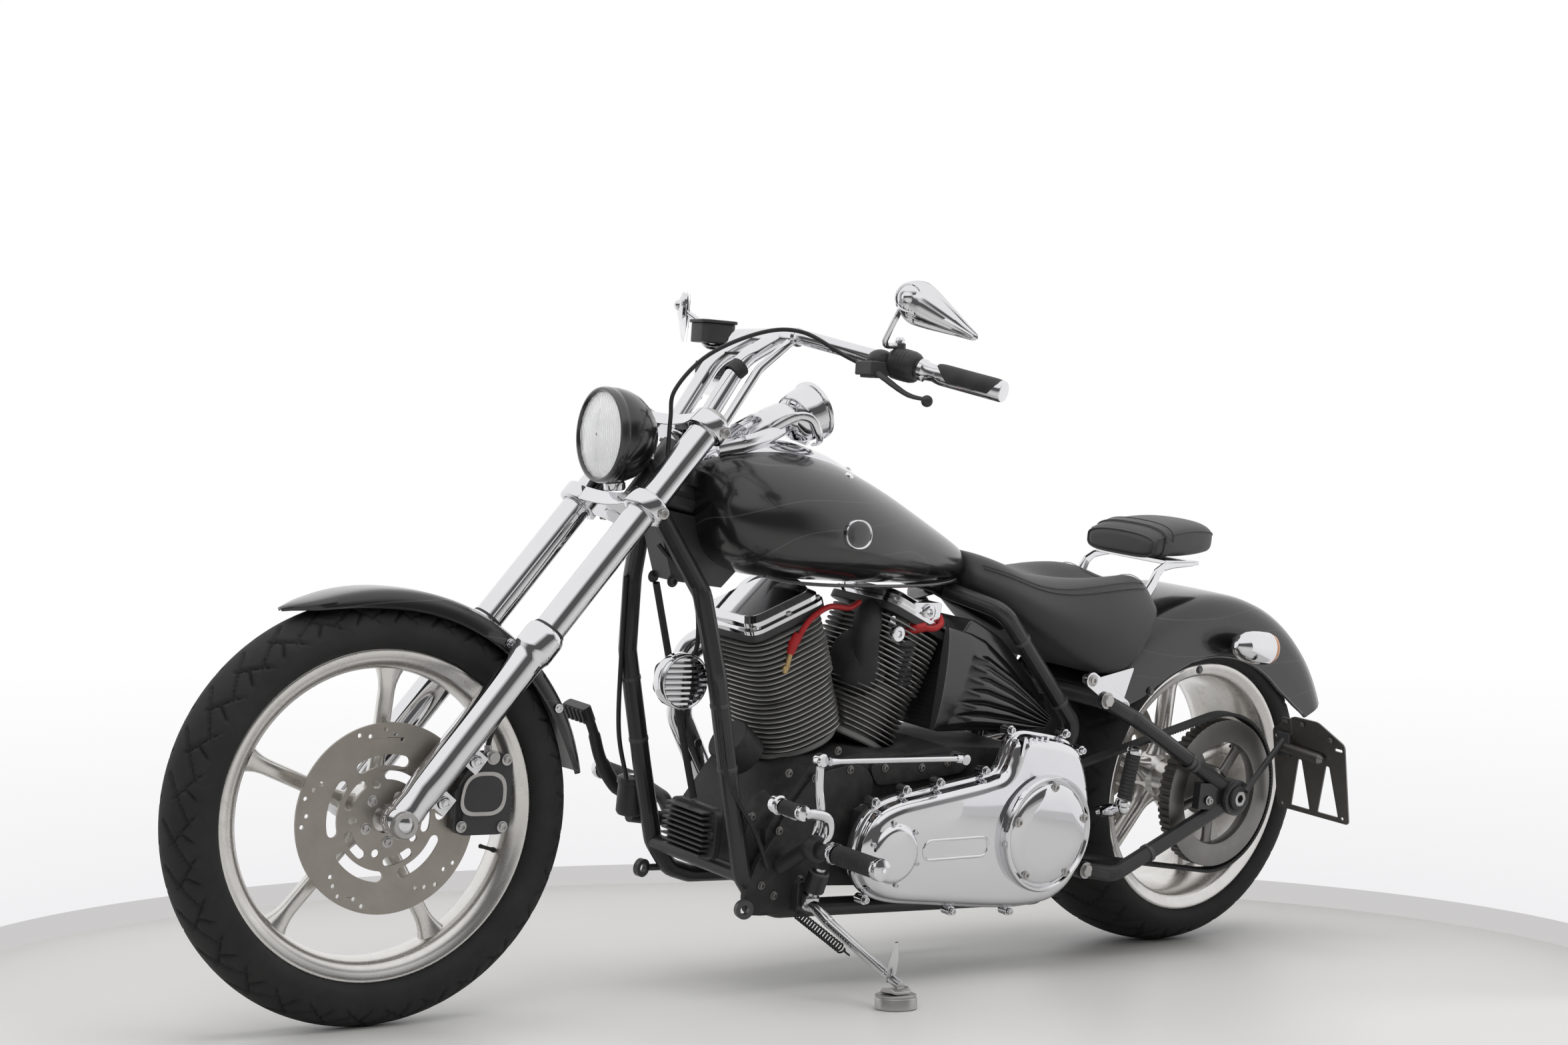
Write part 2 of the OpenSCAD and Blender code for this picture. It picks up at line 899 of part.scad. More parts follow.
module left_foot_control() {
    color([0.7, 0.7, 0.7])
        stand_pose() {
            foot_control([1176, 268, 376]);
            bent_tube([[1056, 212, 290], [1066, 226, 436], [740, 226, 428]], 5);
        }
}

module right_foot_control() {
    color([0.1, 0.1, 0.1])
        stand_pose()
            mirror([0, 1, 0])
                foot_control([1186, 268, 420]);
}

module passenger_pegs() {
    color([0.86, 0.86, 0.87])
        stand_pose()
            both_sides() {
                rod([307, arm_y + 10, 316], [296, arm_y + 16, 436], 14);
                rod([330, arm_y - 30, 304], [307, arm_y + 14, 316], 10);
            }
}

// ---------- fork and handlebar ----------

module clamp_outline(stem_r, leg_r) {
    union() {
        for (side = [-1, 1])
            translate([0, side * leg_y])
                circle(r = leg_r);
        translate([-stem_back, 0])
            circle(r = stem_r);
        polygon([[leg_r * 0.5, -leg_y], [leg_r * 0.6, 0], [leg_r * 0.5, leg_y], [-leg_r * 0.8, leg_y],
            [-stem_back - stem_r * 0.8, 0], [-leg_r * 0.8, -leg_y]]);
    }
}

module leg_bores(low, high) {
    for (side = [-1, 1])
        translate([0, side * leg_y, low])
            cylinder(r = tube_r, h = high - low);
}

module upper_clamp() {
    color([0.88, 0.88, 0.89])
        steer_pose()
            fork_frame()
                difference() {
                    translate([0, 0, upper_clamp_h - clamp_t])
                        linear_extrude(clamp_t)
                            clamp_outline(31, tube_r + 8.5);
                    leg_bores(upper_clamp_h - clamp_t - 1, upper_clamp_h - 4);
                    to_fork_frame()
                        stem();
                }
}

// Undoes fork_frame(), for what lies on the steering axis
module to_fork_frame() {
    rotate([0, fork_rake, 0])
        translate(-front_axle)
            children();
}

module stem() {
    rod(steer_point(lower_clamp_h - clamp_t + 4), steer_point(upper_clamp_h + 3), stem_r);
}

module lower_clamp() {
    color([0.88, 0.88, 0.89])
        steer_pose() {
            fork_frame()
                difference() {
                    translate([0, 0, lower_clamp_h - clamp_t])
                        linear_extrude(clamp_t)
                            clamp_outline(33, tube_r + 11);
                    leg_bores(lower_clamp_h - clamp_t - 1, lower_clamp_h + 1);
                }
            stem();
        }
}

module fork_tubes() {
    color([0.88, 0.88, 0.89])
        steer_pose()
            fork_frame()
                for (side = [-1, 1])
                    translate([0, side * leg_y, slider_len - 40])
                        cylinder(r = tube_r, h = upper_clamp_h - 4 - slider_len + 40);
}

module fork_sliders() {
    color([0.86, 0.86, 0.87])
        steer_pose()
            fork_frame()
                difference() {
                    for (side = [-1, 1])
                        translate([0, side * leg_y, 0]) {
                            translate([0, 0, -10])
                                cylinder(r = 26, h = 80);
                            translate([0, 0, 60])
                                cylinder(r = 28, h = slider_len - 90);
                            translate([0, 0, slider_len - 46])
                                cylinder(r = slider_r, h = 46);
                        }
                    for (side = [-1, 1])
                        translate([0, side * leg_y, slider_len - 40])
                            cylinder(r = tube_r, h = 60);
                    disc_y(axle_r, -140, 140);
                }
}

bar_end_r = bar_r * 0.8;

module handlebar() {
    color([0.88, 0.88, 0.89])
        steer_pose()
            difference() {
                union() {
                    bent_tube([on_bar_mirrored(1), on_bar_mirrored(0), bar_bend, bar_end], bar_end_r);
                    rod(bar_bend - [0, 2 * bar_mid - 6, 0], bar_bend - [0, 6, 0], bar_r);
                    both_sides()
                        bent_tube([clamp_top(44), [1160, 44, 1068], [1098, 44, bar_h - 4]], bar_r - 1);
                }
                fork_frame()
                    translate([-150, -150, upper_clamp_h - 60])
                        cube([300, 300, 60]);
            }
}

// What is bored to slide over the straight end of the bar
module over_bar() {
    difference() {
        children();
        both_sides()
            rod(on_bar(0.3), on_bar(1.2), bar_end_r);
    }
}

function on_bar_mirrored(share) = let (p = on_bar(share)) [p[0], -p[1], p[2]];
function clamp_top(y) =
    let (along = upper_clamp_h)
    [wheelbase - along * sin(fork_rake) - 18 * cos(fork_rake), y,
        front_axle_h + along * cos(fork_rake) - 18 * sin(fork_rake)];

module grips() {
    color([0.08, 0.08, 0.08])
        steer_pose()
            over_bar()
            both_sides()
                rod(on_bar(0.62), on_bar(1.02), grip_d / 2);
}

module hand_controls() {
    color([0.06, 0.06, 0.065])
        steer_pose()
            over_bar()
            both_sides() {
                rod(on_bar(0.47), on_bar(0.6), 26);
                rod(on_bar(0.52) + [10, 0, -4], on_bar(0.5) + [44, 0, -18], 12);
                rod(on_bar(0.5) + [44, 0, -18], on_bar(0.86) + [62, 0, -34], 7);
            }
}

module mirrors() {
    wide = [1040, 341, 1171];
    tip = [985, 436, 1115];
    face_turn = 30;
    color([0.88, 0.88, 0.89])
        steer_pose()
            both_sides() {
                hull() {
                    translate(wide)
                        rotate([0, 0, face_turn])
                            scale([0.36, 1, 1])
                                sphere(r = mirror_r, $fn = 32);
                    translate(tip)
                        rotate([0, 0, face_turn])
                            scale([0.5, 1, 1])
                                sphere(r = 7, $fn = 32);
                }
                bent_tube([on_bar(0.5) + [0, 0, 28.5], [1036, 296, 1142], [1046, 328, 1166]], 5);
            }
}

module headlight() {
    color([0.06, 0.06, 0.065])
        steer_pose() {
            rod([1362, 0, 847], [1366, 0, 872], 9);
            translate([1392, 0, 930])
                rotate([0, -90, 0])
                    rotate_extrude()
                        polygon([[0, -10], [40, -8], [70, 0], [78, 4], [78, 18], [72, 50], [52, 72],
                            [34, 86], [14, 98], [0, 100]]);
        }
}

module front_fender() {
    color([0.05, 0.05, 0.052])
        steer_pose() {
            at_front_axle()
                rotate([0, -80, 0])
                    turned_y_profile(-108)
                        polygon([
                            [front_fender_r - 30, -62], [front_fender_r - 8, -58], [front_fender_r, -40],
                            [front_fender_r, 40], [front_fender_r - 8, 58], [front_fender_r - 30, 62],
                            [front_fender_r - 30, 62 - fender_t], [front_fender_r - 10, 56 - fender_t],
                            [front_fender_r - fender_t, 38], [front_fender_r - fender_t, -38],
                            [front_fender_r - 10, -56 + fender_t], [front_fender_r - 30, -62 + fender_t]
                        ]);
            fork_frame()
                both_sides()
                    translate([0, 0, front_fender_r - 20])
                        disc_y(9, 60, leg_y - slider_r);
        }
}

module front_caliper() {
    color([0.06, 0.06, 0.065])
        steer_pose()
            difference() {
                side_plate([[1558, 302], [1658, 302], [1658, 380], [1620, 432], [1558, 432]], 47, 86);
                at_front_axle()
                    disc_y(front_disc_r + 6, front_disc_y - 8, front_disc_y + 8);
            }
}

// ---------- side stand ----------

stand_knee = [1006, 168, 182];
stand_axis = unit([0, 0.28, 0.96]);
stand_leg_r = 10;
foot_t = 9;
foot_y = 402;
foot_lift = 0.6;
foot_pad = [40, 46, foot_t];

// Height above the bike's ground line of a point that far out and that high above the floor
function above_floor(y, height) = (height + y * sin(lean)) / cos(lean);

foot_tip = [1008, foot_y, above_floor(foot_y, puck_h + foot_t + 3)];

module side_stand() {
    color([0.75, 0.75, 0.76])
        stand_pose()
            difference() {
                union() {
                    bent_tube([stand_knee, foot_tip + [0, -24, 12], foot_tip + [0, 16, 2]],
                        stand_leg_r, 20);
                    rod(stand_knee - 8 * stand_axis, stand_knee + 66 * stand_axis, stand_leg_r);
                    rod(stand_knee - 10 * stand_axis, stand_knee + 12 * stand_axis, stand_leg_r + 5);
                    rod(foot_tip + [0, -16, 4], foot_tip + [14, 6, 74], 7);
                    rotate([lean, 0, 0])
                        translate([foot_tip[0], stand_foot_y(), puck_h + foot_lift] - [20, 23, 0])
                            cube(foot_pad);
                }
                rotate([lean, 0, 0])
                    translate([foot_tip[0], stand_foot_y(), puck_h + foot_lift] - [100, 100, 40])
                        cube([200, 200, 40]);
            }
}

function stand_foot_y() = foot_tip[1] * cos(lean) + foot_tip[2] * sin(lean);

module stand_bracket() {
    color([0.07, 0.07, 0.075])
        stand_pose()
            difference() {
                union() {
                    rod(stand_knee + 22 * stand_axis, stand_knee + 58 * stand_axis, stand_leg_r + 8);
                    side_plate([[990, rail_h], [1022, rail_h], [1022, rail_h + 62], [990, rail_h + 62]],
                        rail_y + frame_r - 2, rail_y + frame_r + 20);
                }
                rod(stand_knee - 30 * stand_axis, stand_knee + 90 * stand_axis, stand_leg_r + axle_clear);
                rod(stand_knee - 30 * stand_axis, stand_knee + 16 * stand_axis, stand_leg_r + 10);
                rod(rail_front + unit(rail_front - rail_rear) * 20, rail_rear, frame_r);
            }
}

module stand_spring() {
    color([0.1, 0.1, 0.1])
        stand_pose()
            rod(stand_knee + [30, -6, -14], [1030, 300, 132], 7);
}

module stand_puck() {
    color([0.7, 0.7, 0.7])
        translate([origin_x + foot_tip[0], origin_y + stand_foot_y(), 0])
            cylinder(d = puck_d, h = puck_h);
}

// ---------- cable and hose ----------

cable_r = 3.5;
hose_r = 4;

module clutch_cable() {
    color([0.05, 0.05, 0.05])
        steer_pose()
            bent_tube([[1046, 252, 1060], [1068, 200, 1082], [1110, 140, 1118], [1160, 96, 1112],
                [1240, 66, 1072], [1292, 54, 1010], [1299, 56, 960], [1313, 70, 880],
                [1356, 72, 841]], cable_r, 30, 8);
}

module brake_hose() {
    color([0.05, 0.05, 0.05])
        steer_pose()
            bent_tube([[1360, 56, 796], [1396, 66, 758], [1450, 72, 690], [1512, 72, 600], [1556, 70, 520],
                [1590, 66, 462], [1596, 62, 433]], hose_r, 40, 8);
}

frame();
swingarm();
engine_case();
front_cylinder();
rear_cylinder();
rocker_boxes();
primary_cover();
derby_cover();
air_cleaner();
exhaust_pipes();
oil_tank_cover();
fuel_tank();
dash_console();
speedometer();
seat();
pillion_pad();
pillion_bracket();
horn();
regulator();
rear_fender();
rear_signals();
plate_bracket();
rear_axle();
left_foot_control();
right_foot_control();
passenger_pegs();
drive_belt();
rear_caliper();
stand_bracket();
stand_puck();
upper_clamp();
lower_clamp();
fork_tubes();
fork_sliders();
handlebar();
grips();
hand_controls();
mirrors();
headlight();
front_fender();
front_caliper();
front_axle();
clutch_cable();
brake_hose();
front_tyre();
front_rim();
front_disc();
rear_tyre();
rear_rim();
rear_pulley();
rear_disc();
side_stand();
stand_spring();
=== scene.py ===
"""Looks of a long-wheelbase chopper motorcycle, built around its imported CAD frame.

Pieces are drawn in bike coordinates, in millimetres: X forward, Y to the rider's left, Z up from
the ground line, below the rear axle. BIKE leans them onto the side stand, FORK turns them too.
"""
import json
from math import acos, atan2, copysign, cos, degrees, exp, pi, radians, sin, sqrt, tan

import bpy
import bmesh
from mathutils import Matrix, Vector


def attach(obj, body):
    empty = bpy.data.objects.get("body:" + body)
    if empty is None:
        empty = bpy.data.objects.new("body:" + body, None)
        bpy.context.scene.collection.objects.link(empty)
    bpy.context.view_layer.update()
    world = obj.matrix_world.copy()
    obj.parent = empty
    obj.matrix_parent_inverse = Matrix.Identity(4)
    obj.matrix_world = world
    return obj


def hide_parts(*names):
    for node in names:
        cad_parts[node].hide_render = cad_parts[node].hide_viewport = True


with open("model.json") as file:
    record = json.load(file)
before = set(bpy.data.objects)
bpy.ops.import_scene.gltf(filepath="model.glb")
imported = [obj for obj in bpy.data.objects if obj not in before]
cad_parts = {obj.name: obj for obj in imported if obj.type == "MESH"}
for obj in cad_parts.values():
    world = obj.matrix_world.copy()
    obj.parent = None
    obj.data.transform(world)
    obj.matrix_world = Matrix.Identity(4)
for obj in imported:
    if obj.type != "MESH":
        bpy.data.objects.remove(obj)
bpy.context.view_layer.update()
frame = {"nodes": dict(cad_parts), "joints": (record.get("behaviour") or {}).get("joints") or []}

MM = 0.001
LEAN = radians(9.4)
STEER = radians(6.75)
FORK_RAKE = radians(38.9)
LEG_Y = 105
JOINTS = {joint["name"]: joint for joint in frame["joints"]}

# ---------- places ----------


def turn_about(point, axis, angle):
    there = Matrix.Translation(point)
    return there @ Matrix.Rotation(angle, 4, Vector(axis)) @ there.inverted()


def bike_matrix():
    x, y, z = JOINTS["rear_wheel_spin"]["pos_m"]
    height = z / cos(LEAN)
    ground = Matrix.Translation((x, y - height * sin(LEAN), 0))
    return ground @ Matrix.Rotation(-LEAN, 4, "X") @ Matrix.Scale(MM, 4)


BIKE = bike_matrix()
FORK = turn_about(JOINTS["steering_turn"]["pos_m"], JOINTS["steering_turn"]["axis"], -STEER) @ BIKE
REAR_AXLE = BIKE.inverted() @ Vector(JOINTS["rear_wheel_spin"]["pos_m"])
FRONT_AXLE = FORK.inverted() @ Vector(JOINTS["front_wheel_spin"]["pos_m"])
# Local frame on a fork leg: Z runs up the leg from the axle
UP_LEG = Matrix.Translation(FRONT_AXLE) @ Matrix.Rotation(-FORK_RAKE, 4, "Y")
# Local frame of a flat shape: its X and Y become X and Z, its thickness runs along Y
SIDE = Matrix(((1, 0, 0, 0), (0, 0, 1, 0), (0, 1, 0, 0), (0, 0, 0, 1)))
# Local frame of a turned shape: its axis becomes Y
TURNED = Matrix.Rotation(radians(-90), 4, "X")


def at(x, y, z):
    return Matrix.Translation((x, y, z))


def leg(side):
    return UP_LEG @ at(0, side * LEG_Y, 0)


def aim(start, end):
    """Frame at start whose Z points at end."""
    start, end = Vector(start), Vector(end)
    return Matrix.Translation(start) @ (end - start).to_track_quat("Z", "Y").to_matrix().to_4x4()


def mirrored(points):
    return [(x, -y, z) for x, y, z in points]


def smooth_path(points, steps=8):
    """Catmull-Rom curve through the points."""
    points = [Vector(p) for p in points]
    ends = [2 * points[0] - points[1]] + points + [2 * points[-1] - points[-2]]
    path = []
    for a, b, c, d in zip(ends, ends[1:], ends[2:], ends[3:]):
        for i in range(steps):
            t = i / steps
            path.append(0.5 * (2 * b + (c - a) * t + (2 * a - 5 * b + 4 * c - d) * t * t
                               + (3 * b - a - 3 * c + d) * t ** 3))
    return path + [points[-1]]


def circle(radius, count=48, x=0.0, y=0.0, start=0.0):
    turns = [start + 2 * pi * i / count for i in range(count)]
    return [(x + radius * cos(t), y + radius * sin(t)) for t in turns]


def arc(radius, start, end, count=12, x=0.0, y=0.0):
    """Points of an arc between two angles in degrees, both ends included."""
    turns = [radians(start + (end - start) * i / count) for i in range(count + 1)]
    return [(x + radius * cos(t), y + radius * sin(t)) for t in turns]


def slot_outline(middle_r, half_w, start, end):
    """Kidney-shaped slot along a circle, with round ends."""
    caps = []
    for angle, first in ((end, 0), (start, 180)):
        t = radians(angle)
        caps.append(arc(half_w, angle + first, angle + first + 180, 6,
                        middle_r * cos(t), middle_r * sin(t)))
    return (arc(middle_r + half_w, start, end) + caps[0][1:-1]
            + arc(middle_r - half_w, end, start) + caps[1][1:-1])


def rounded(outline, radius, steps=4):
    """Outline with each corner cut to a round one."""
    result = []
    count = len(outline)
    for i in range(count):
        before, corner, after = (Vector(outline[(i + k) % count]) for k in (-1, 0, 1))
        reach = min(radius, (before - corner).length * 0.45, (after - corner).length * 0.45)
        a = corner + (before - corner).normalized() * reach
        b = corner + (after - corner).normalized() * reach
        for k in range(steps + 1):
            t = k / steps
            result.append(tuple((1 - t) ** 2 * a + 2 * t * (1 - t) * corner + t * t * b))
    return result


# ---------- shapes ----------


class Shape:
    """Collects the surfaces of one piece, in bike millimetres."""

    def __init__(self):
        self.verts = []
        self.faces = []

    def add(self, verts, faces, place=Matrix()):
        base = len(self.verts)
        self.verts += [place @ Vector(v) for v in verts]
        self.faces += [[base + i for i in face] for face in faces]
        return self

    def rings(self, rings, place=Matrix(), caps=True, closed=False):
        """Skin over rings that hold the same number of points."""
        n = len(rings[0])
        faces = []
        last = len(rings) if closed else len(rings) - 1
        for i in range(last):
            a, b = i * n, (i + 1) % len(rings) * n
            faces += [[a + k, a + (k + 1) % n, b + (k + 1) % n, b + k] for k in range(n)]
        if caps and not closed:
            faces += [list(range(n))[::-1], [(len(rings) - 1) * n + k for k in range(n)]]
        return self.add([p for ring in rings for p in ring], faces, place)

    def lathe(self, profile, place=Matrix(), turns=48, closed=False):
        """Turned shape: the profile's points are (radius, height along the local Z)."""
        rings = []
        for r, h in profile:
            rings.append([(max(r, 0.01) * cos(2 * pi * k / turns),
                           max(r, 0.01) * sin(2 * pi * k / turns), h)
                          for k in range(turns)])
        return self.rings(rings, place, caps=not closed, closed=closed)

    def tube(self, path, radius, sides=16, place=Matrix(), flat=1.0):
        """Round or oval bar along a path; radius is a number or one number for each point."""
        path = [Vector(p) for p in path]
        radii = radius if isinstance(radius, (list, tuple)) else [radius] * len(path)
        side, rings = None, []
        for i, point in enumerate(path):
            way = (path[min(i + 1, len(path) - 1)] - path[max(i - 1, 0)]).normalized()
            if side is None:
                side = way.orthogonal() if abs(way.y) > 0.9 else way.cross(Vector((0, 1, 0)))
            side = (side - way * side.dot(way)).normalized()
            other = way.cross(side)
            rings.append([point + radii[i] * (side * cos(2 * pi * k / sides)
                                              + other * flat * sin(2 * pi * k / sides))
                          for k in range(sides)])
        return self.rings(rings, place)

    def rod(self, start, end, radius, sides=24, place=Matrix()):
        return self.tube([start, end], radius, sides, place)

    def plate(self, outline, low, high, place=SIDE):
        """Flat outline with a thickness along the local Z."""
        n = len(outline)
        verts = [(x, y, low) for x, y in outline] + [(x, y, high) for x, y in outline]
        faces = [[k, (k + 1) % n, n + (k + 1) % n, n + k] for k in range(n)]
        return self.add(verts, faces + [list(range(n))[::-1], [n + k for k in range(n)]], place)

    def block(self, low, high, place=Matrix()):
        (a, b, c), (d, e, f) = low, high
        return self.plate([(a, b), (d, b), (d, e), (a, e)], c, f, place)

    def ball(self, centre, radii, place=Matrix(), rows=12, turns=24):
        profile = [(sin(pi * i / rows), -cos(pi * i / rows))
                   for i in range(rows + 1)]
        scale = Matrix.Diagonal((*radii, 1)) if isinstance(radii, tuple) else Matrix.Scale(radii, 4)
        return self.lathe(profile, place @ at(*centre) @ scale, turns)

    def cut_sheet(self, outlines, low, high, place=SIDE):
        """Sheet with holes: the first outline is its edge and the others are holes."""
        curve = bpy.data.curves.new("sheet", "CURVE")
        curve.dimensions = "2D"
        curve.fill_mode = "BOTH"
        curve.extrude = (high - low) / 2
        for outline in outlines:
            spline = curve.splines.new("POLY")
            spline.points.add(len(outline) - 1)
            for point, (x, y) in zip(spline.points, outline):
                point.co = (x, y, 0, 1)
            spline.use_cyclic_u = True
        holder = bpy.data.objects.new("sheet", curve)
        mesh = bpy.data.meshes.new_from_object(holder)
        verts = [tuple(v.co) for v in mesh.vertices]
        faces = [list(p.vertices) for p in mesh.polygons]
        bpy.data.objects.remove(holder)
        bpy.data.meshes.remove(mesh)
        bpy.data.curves.remove(curve)
        return self.add(verts, faces, place @ at(0, 0, (low + high) / 2))

    def bolt(self, head, foot, radius=6, height=5, washer=True):
        """Socket head screw at head, seen from outside, whose axis runs to foot."""
        place = aim(foot, head) @ at(0, 0, (Vector(head) - Vector(foot)).length)
        r, h = radius, height
        if washer:
            self.lathe([(0, -1), (r * 1.5, -1), (r * 1.5, 0.6), (r * 1.35, 1.2), (0, 1.2)], place, 20)
        self.lathe([(0, 0), (r, 0), (r, h - 0.8), (r - 0.8, h), (r * 0.55, h), (r * 0.5, h - 2.5),
                    (0, h - 2.5)], place, 18)
        return self

    def hex_head(self, head, foot, radius=9, height=6):
        place = aim(foot, head) @ at(0, 0, (Vector(head) - Vector(foot)).length)
        self.lathe([(0, 0), (radius * 1.3, 0), (radius * 1.3, 1.5), (0, 1.5)], place, 24)
        return self.lathe([(0, 1), (radius, 1), (radius, height - 1), (radius * 0.88, height),
                           (0, height)], place, 6)

    def make(self, name, body, slot, finish, place=None, bevel=0.0, rounds=0, sharp=35, stands=(),
             flat=False):
        """Makes the piece, with its edges softened by bevel millimetres and rounds subdivisions."""
        mesh = bpy.data.meshes.new(name)
        mesh.from_pydata([tuple(v) for v in self.verts], [], self.faces)
        cleaned = bmesh.new()
        cleaned.from_mesh(mesh)
        bmesh.ops.remove_doubles(cleaned, verts=cleaned.verts, dist=0.02)
        bmesh.ops.recalc_face_normals(cleaned, faces=cleaned.faces)
        cleaned.to_mesh(mesh)
        cleaned.free()
        if place is None:
            place = FORK if body in ("steering", "front_wheel") else BIKE
        mesh.transform(place)
        if not flat:
            mesh.shade_smooth()
            mesh.set_sharp_from_angle(angle=radians(sharp))
        mesh.materials.append(finish)
        piece = bpy.data.objects.new(name, mesh)
        bpy.context.scene.collection.objects.link(piece)
        if bevel:
            edge = piece.modifiers.new("edge", "BEVEL")
            edge.width = bevel * MM
            edge.segments = 2
            edge.limit_method = "ANGLE"
            edge.angle_limit = radians(40)
            edge.harden_normals = True
        if rounds:
            smooth = piece.modifiers.new("rounds", "SUBSURF")
            smooth.levels = smooth.render_levels = rounds
        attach(piece, body)
        if stands:
            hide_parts(*stands)
        return piece


# ---------- shader writing ----------


class Wire:
    """A shader socket that can be used in sums: each operator adds one Math node."""

    def __init__(self, finish, socket):
        self.finish = finish
        self.socket = socket

    def math(self, operation, a, b=0.0, clamp=False):
        return self.finish.add("Math", {"operation": operation, "use_clamp": clamp}, {0: a, 1: b})

    def __add__(self, other):
        return self.math("ADD", self, other)

    __radd__ = __add__

    def __mul__(self, other):
        return self.math("MULTIPLY", self, other)

    __rmul__ = __mul__

    def __sub__(self, other):
        return self.math("SUBTRACT", self, other)

    def __rsub__(self, other):
        return self.math("SUBTRACT", other, self)

    def __truediv__(self, other):
        return self.math("DIVIDE", self, other)

    def __pow__(self, other):
        return self.math("POWER", self, other)

    def above(self, edge, soft):
        """0 below edge, 1 above edge + soft, and a straight rise between them."""
        return self.math("MULTIPLY", self - edge, 1 / soft, clamp=True)


class Finish:
    """One material, or the world, and its nodes."""

    def __init__(self, name, world=None):
        self.material = world or bpy.data.materials.new(name)
        self.material.use_nodes = True
        self.tree = self.material.node_tree
        self.tree.nodes.clear()
        self.where = self.add("TexCoord", {}, {}, "Object")

    def add(self, kind, settings, inputs, output=0):
        node = self.tree.nodes.new("ShaderNode" + kind)
        for name, value in settings.items():
            if name == "stops":
                self.set_stops(node.color_ramp, value)
            else:
                setattr(node, name, value)
        for name, value in inputs.items():
            if isinstance(value, Wire):
                self.tree.links.new(value.socket, node.inputs[name])
            else:
                node.inputs[name].default_value = value
        return Wire(self, node.outputs[output])

    @staticmethod
    def set_stops(ramp, stops):
        while len(ramp.elements) < len(stops):
            ramp.elements.new(0.5)
        for element, (place, shade) in zip(ramp.elements, stops):
            element.position = place
            element.color = (*shade, 1)

    def noise(self, scale, detail=3.0, rough=0.5, where=None):
        inputs = {"Vector": where or self.where, "Scale": scale, "Detail": detail, "Roughness": rough}
        return self.add("TexNoise", {}, inputs, 0)

    def cells(self, scale, feature="F1", output="Distance", where=None):
        return self.add("TexVoronoi", {"feature": feature},
                        {"Vector": where or self.where, "Scale": scale}, output)

    def stretched(self, scale):
        return self.add("VectorMath", {"operation": "MULTIPLY"}, {0: self.where, 1: scale})

    def ramp(self, factor, *stops):
        return self.add("ValToRGB", {"stops": stops}, {"Fac": factor})

    def blend(self, factor, a, b):
        pair = {}
        for key, shade in (("A", a), ("B", b)):
            pair[key] = shade if isinstance(shade, Wire) else (*shade, 1)
        node = self.tree.nodes.new("ShaderNodeMix")
        node.data_type = "RGBA"
        sockets = {s.identifier: s for s in node.inputs}
        for identifier, value in (("Factor_Float", factor), ("A_Color", pair["A"]),
                                  ("B_Color", pair["B"])):
            if isinstance(value, Wire):
                self.tree.links.new(value.socket, sockets[identifier])
            else:
                sockets[identifier].default_value = value
        return Wire(self, [s for s in node.outputs if s.identifier == "Result_Color"][0])

    def bump(self, height, depth, strength=0.5):
        """Normal of a height map; depth is in metres."""
        return self.add("Bump", {}, {"Strength": strength, "Distance": depth, "Height": height})

    def done(self, **inputs):
        """Ends in a Principled shader; its input names are written with underscores."""
        sockets = {name.replace("_", " "): value for name, value in inputs.items()}
        for name in ("Base Color", "Emission Color", "Sheen Tint"):
            if isinstance(sockets.get(name), tuple):
                sockets[name] = (*sockets[name], 1)
        shader = self.add("BsdfPrincipled", {}, sockets)
        return self.end(shader)

    def end(self, shader, target="Material"):
        out = self.tree.nodes.new("ShaderNodeOutput" + target)
        self.tree.links.new(shader.socket, out.inputs["Surface"])
        return self.material


# ---------- finishes ----------


def chrome_plate(name="chrome_plate", tone=(0.80, 0.80, 0.82), rough=0.035):
    f = Finish(name)
    wipes = f.noise(9.0, 4.0, 0.6)
    specks = f.noise(320.0, 2.0)
    haze = wipes.above(0.48, 0.3) * 0.05 + specks.above(0.62, 0.2) * 0.06
    waves = f.bump(f.noise(16.0, 1.0), 0.0006, 0.12)
    shade = f.blend(wipes, tone, tuple(c * 0.90 for c in tone))
    return f.done(Base_Color=shade, Metallic=1.0, Roughness=rough + haze, Normal=waves)


def polished_alloy():
    f = Finish("polished_alloy")
    cast = f.noise(38.0, 5.0, 0.6)
    fine = f.noise(700.0, 2.0)
    shade = f.blend(cast, (0.80, 0.785, 0.76), (0.66, 0.645, 0.62))
    rough = 0.16 + cast * 0.14 + fine * 0.06
    return f.done(Base_Color=shade, Metallic=1.0, Roughness=rough, Normal=f.bump(fine, 0.0004, 0.15))


def turned_metal(name, light, dark, rough=0.25, rings=900.0):
    """Metal with fine turning or grinding marks."""
    f = Finish(name)
    marks = f.noise(rings, 2.0, 0.7, f.stretched((1.0, 0.05, 1.0)))
    stains = f.noise(22.0, 5.0, 0.65)
    shade = f.blend(stains, light, dark)
    worn = rough + marks * 0.18 + stains * 0.10
    return f.done(Base_Color=shade, Metallic=1.0, Roughness=worn, Normal=f.bump(marks, 0.0004, 0.22))


def powder_coat(name, tone, rough=0.34, grain=900.0, depth=0.0005, coat=0.25):
    """Black coat with a fine orange peel and dusty patches, lighter on its sharp outer edges as a painted
    highlight.
    """
    f = Finish(name)
    peel = f.noise(grain, 2.0)
    dust = f.noise(14.0, 6.0, 0.7)
    # painted highlight: Pointiness lightens the coat towards grey on its sharp outer edges
    edge_pointiness = f.add("NewGeometry", {}, {}, "Pointiness")
    edges = edge_pointiness.above(0.53, 0.06)
    shade = f.blend(dust.above(0.45, 0.5), tone, tuple(c * 1.6 + 0.002 for c in tone))
    shade = f.blend(edges * 0.35, shade, (0.10, 0.10, 0.105))
    gloss = rough + dust * 0.16
    return f.done(Base_Color=shade, Roughness=gloss, Coat_Weight=coat, Coat_Roughness=0.12,
                  Normal=f.bump(peel, depth, 0.18))


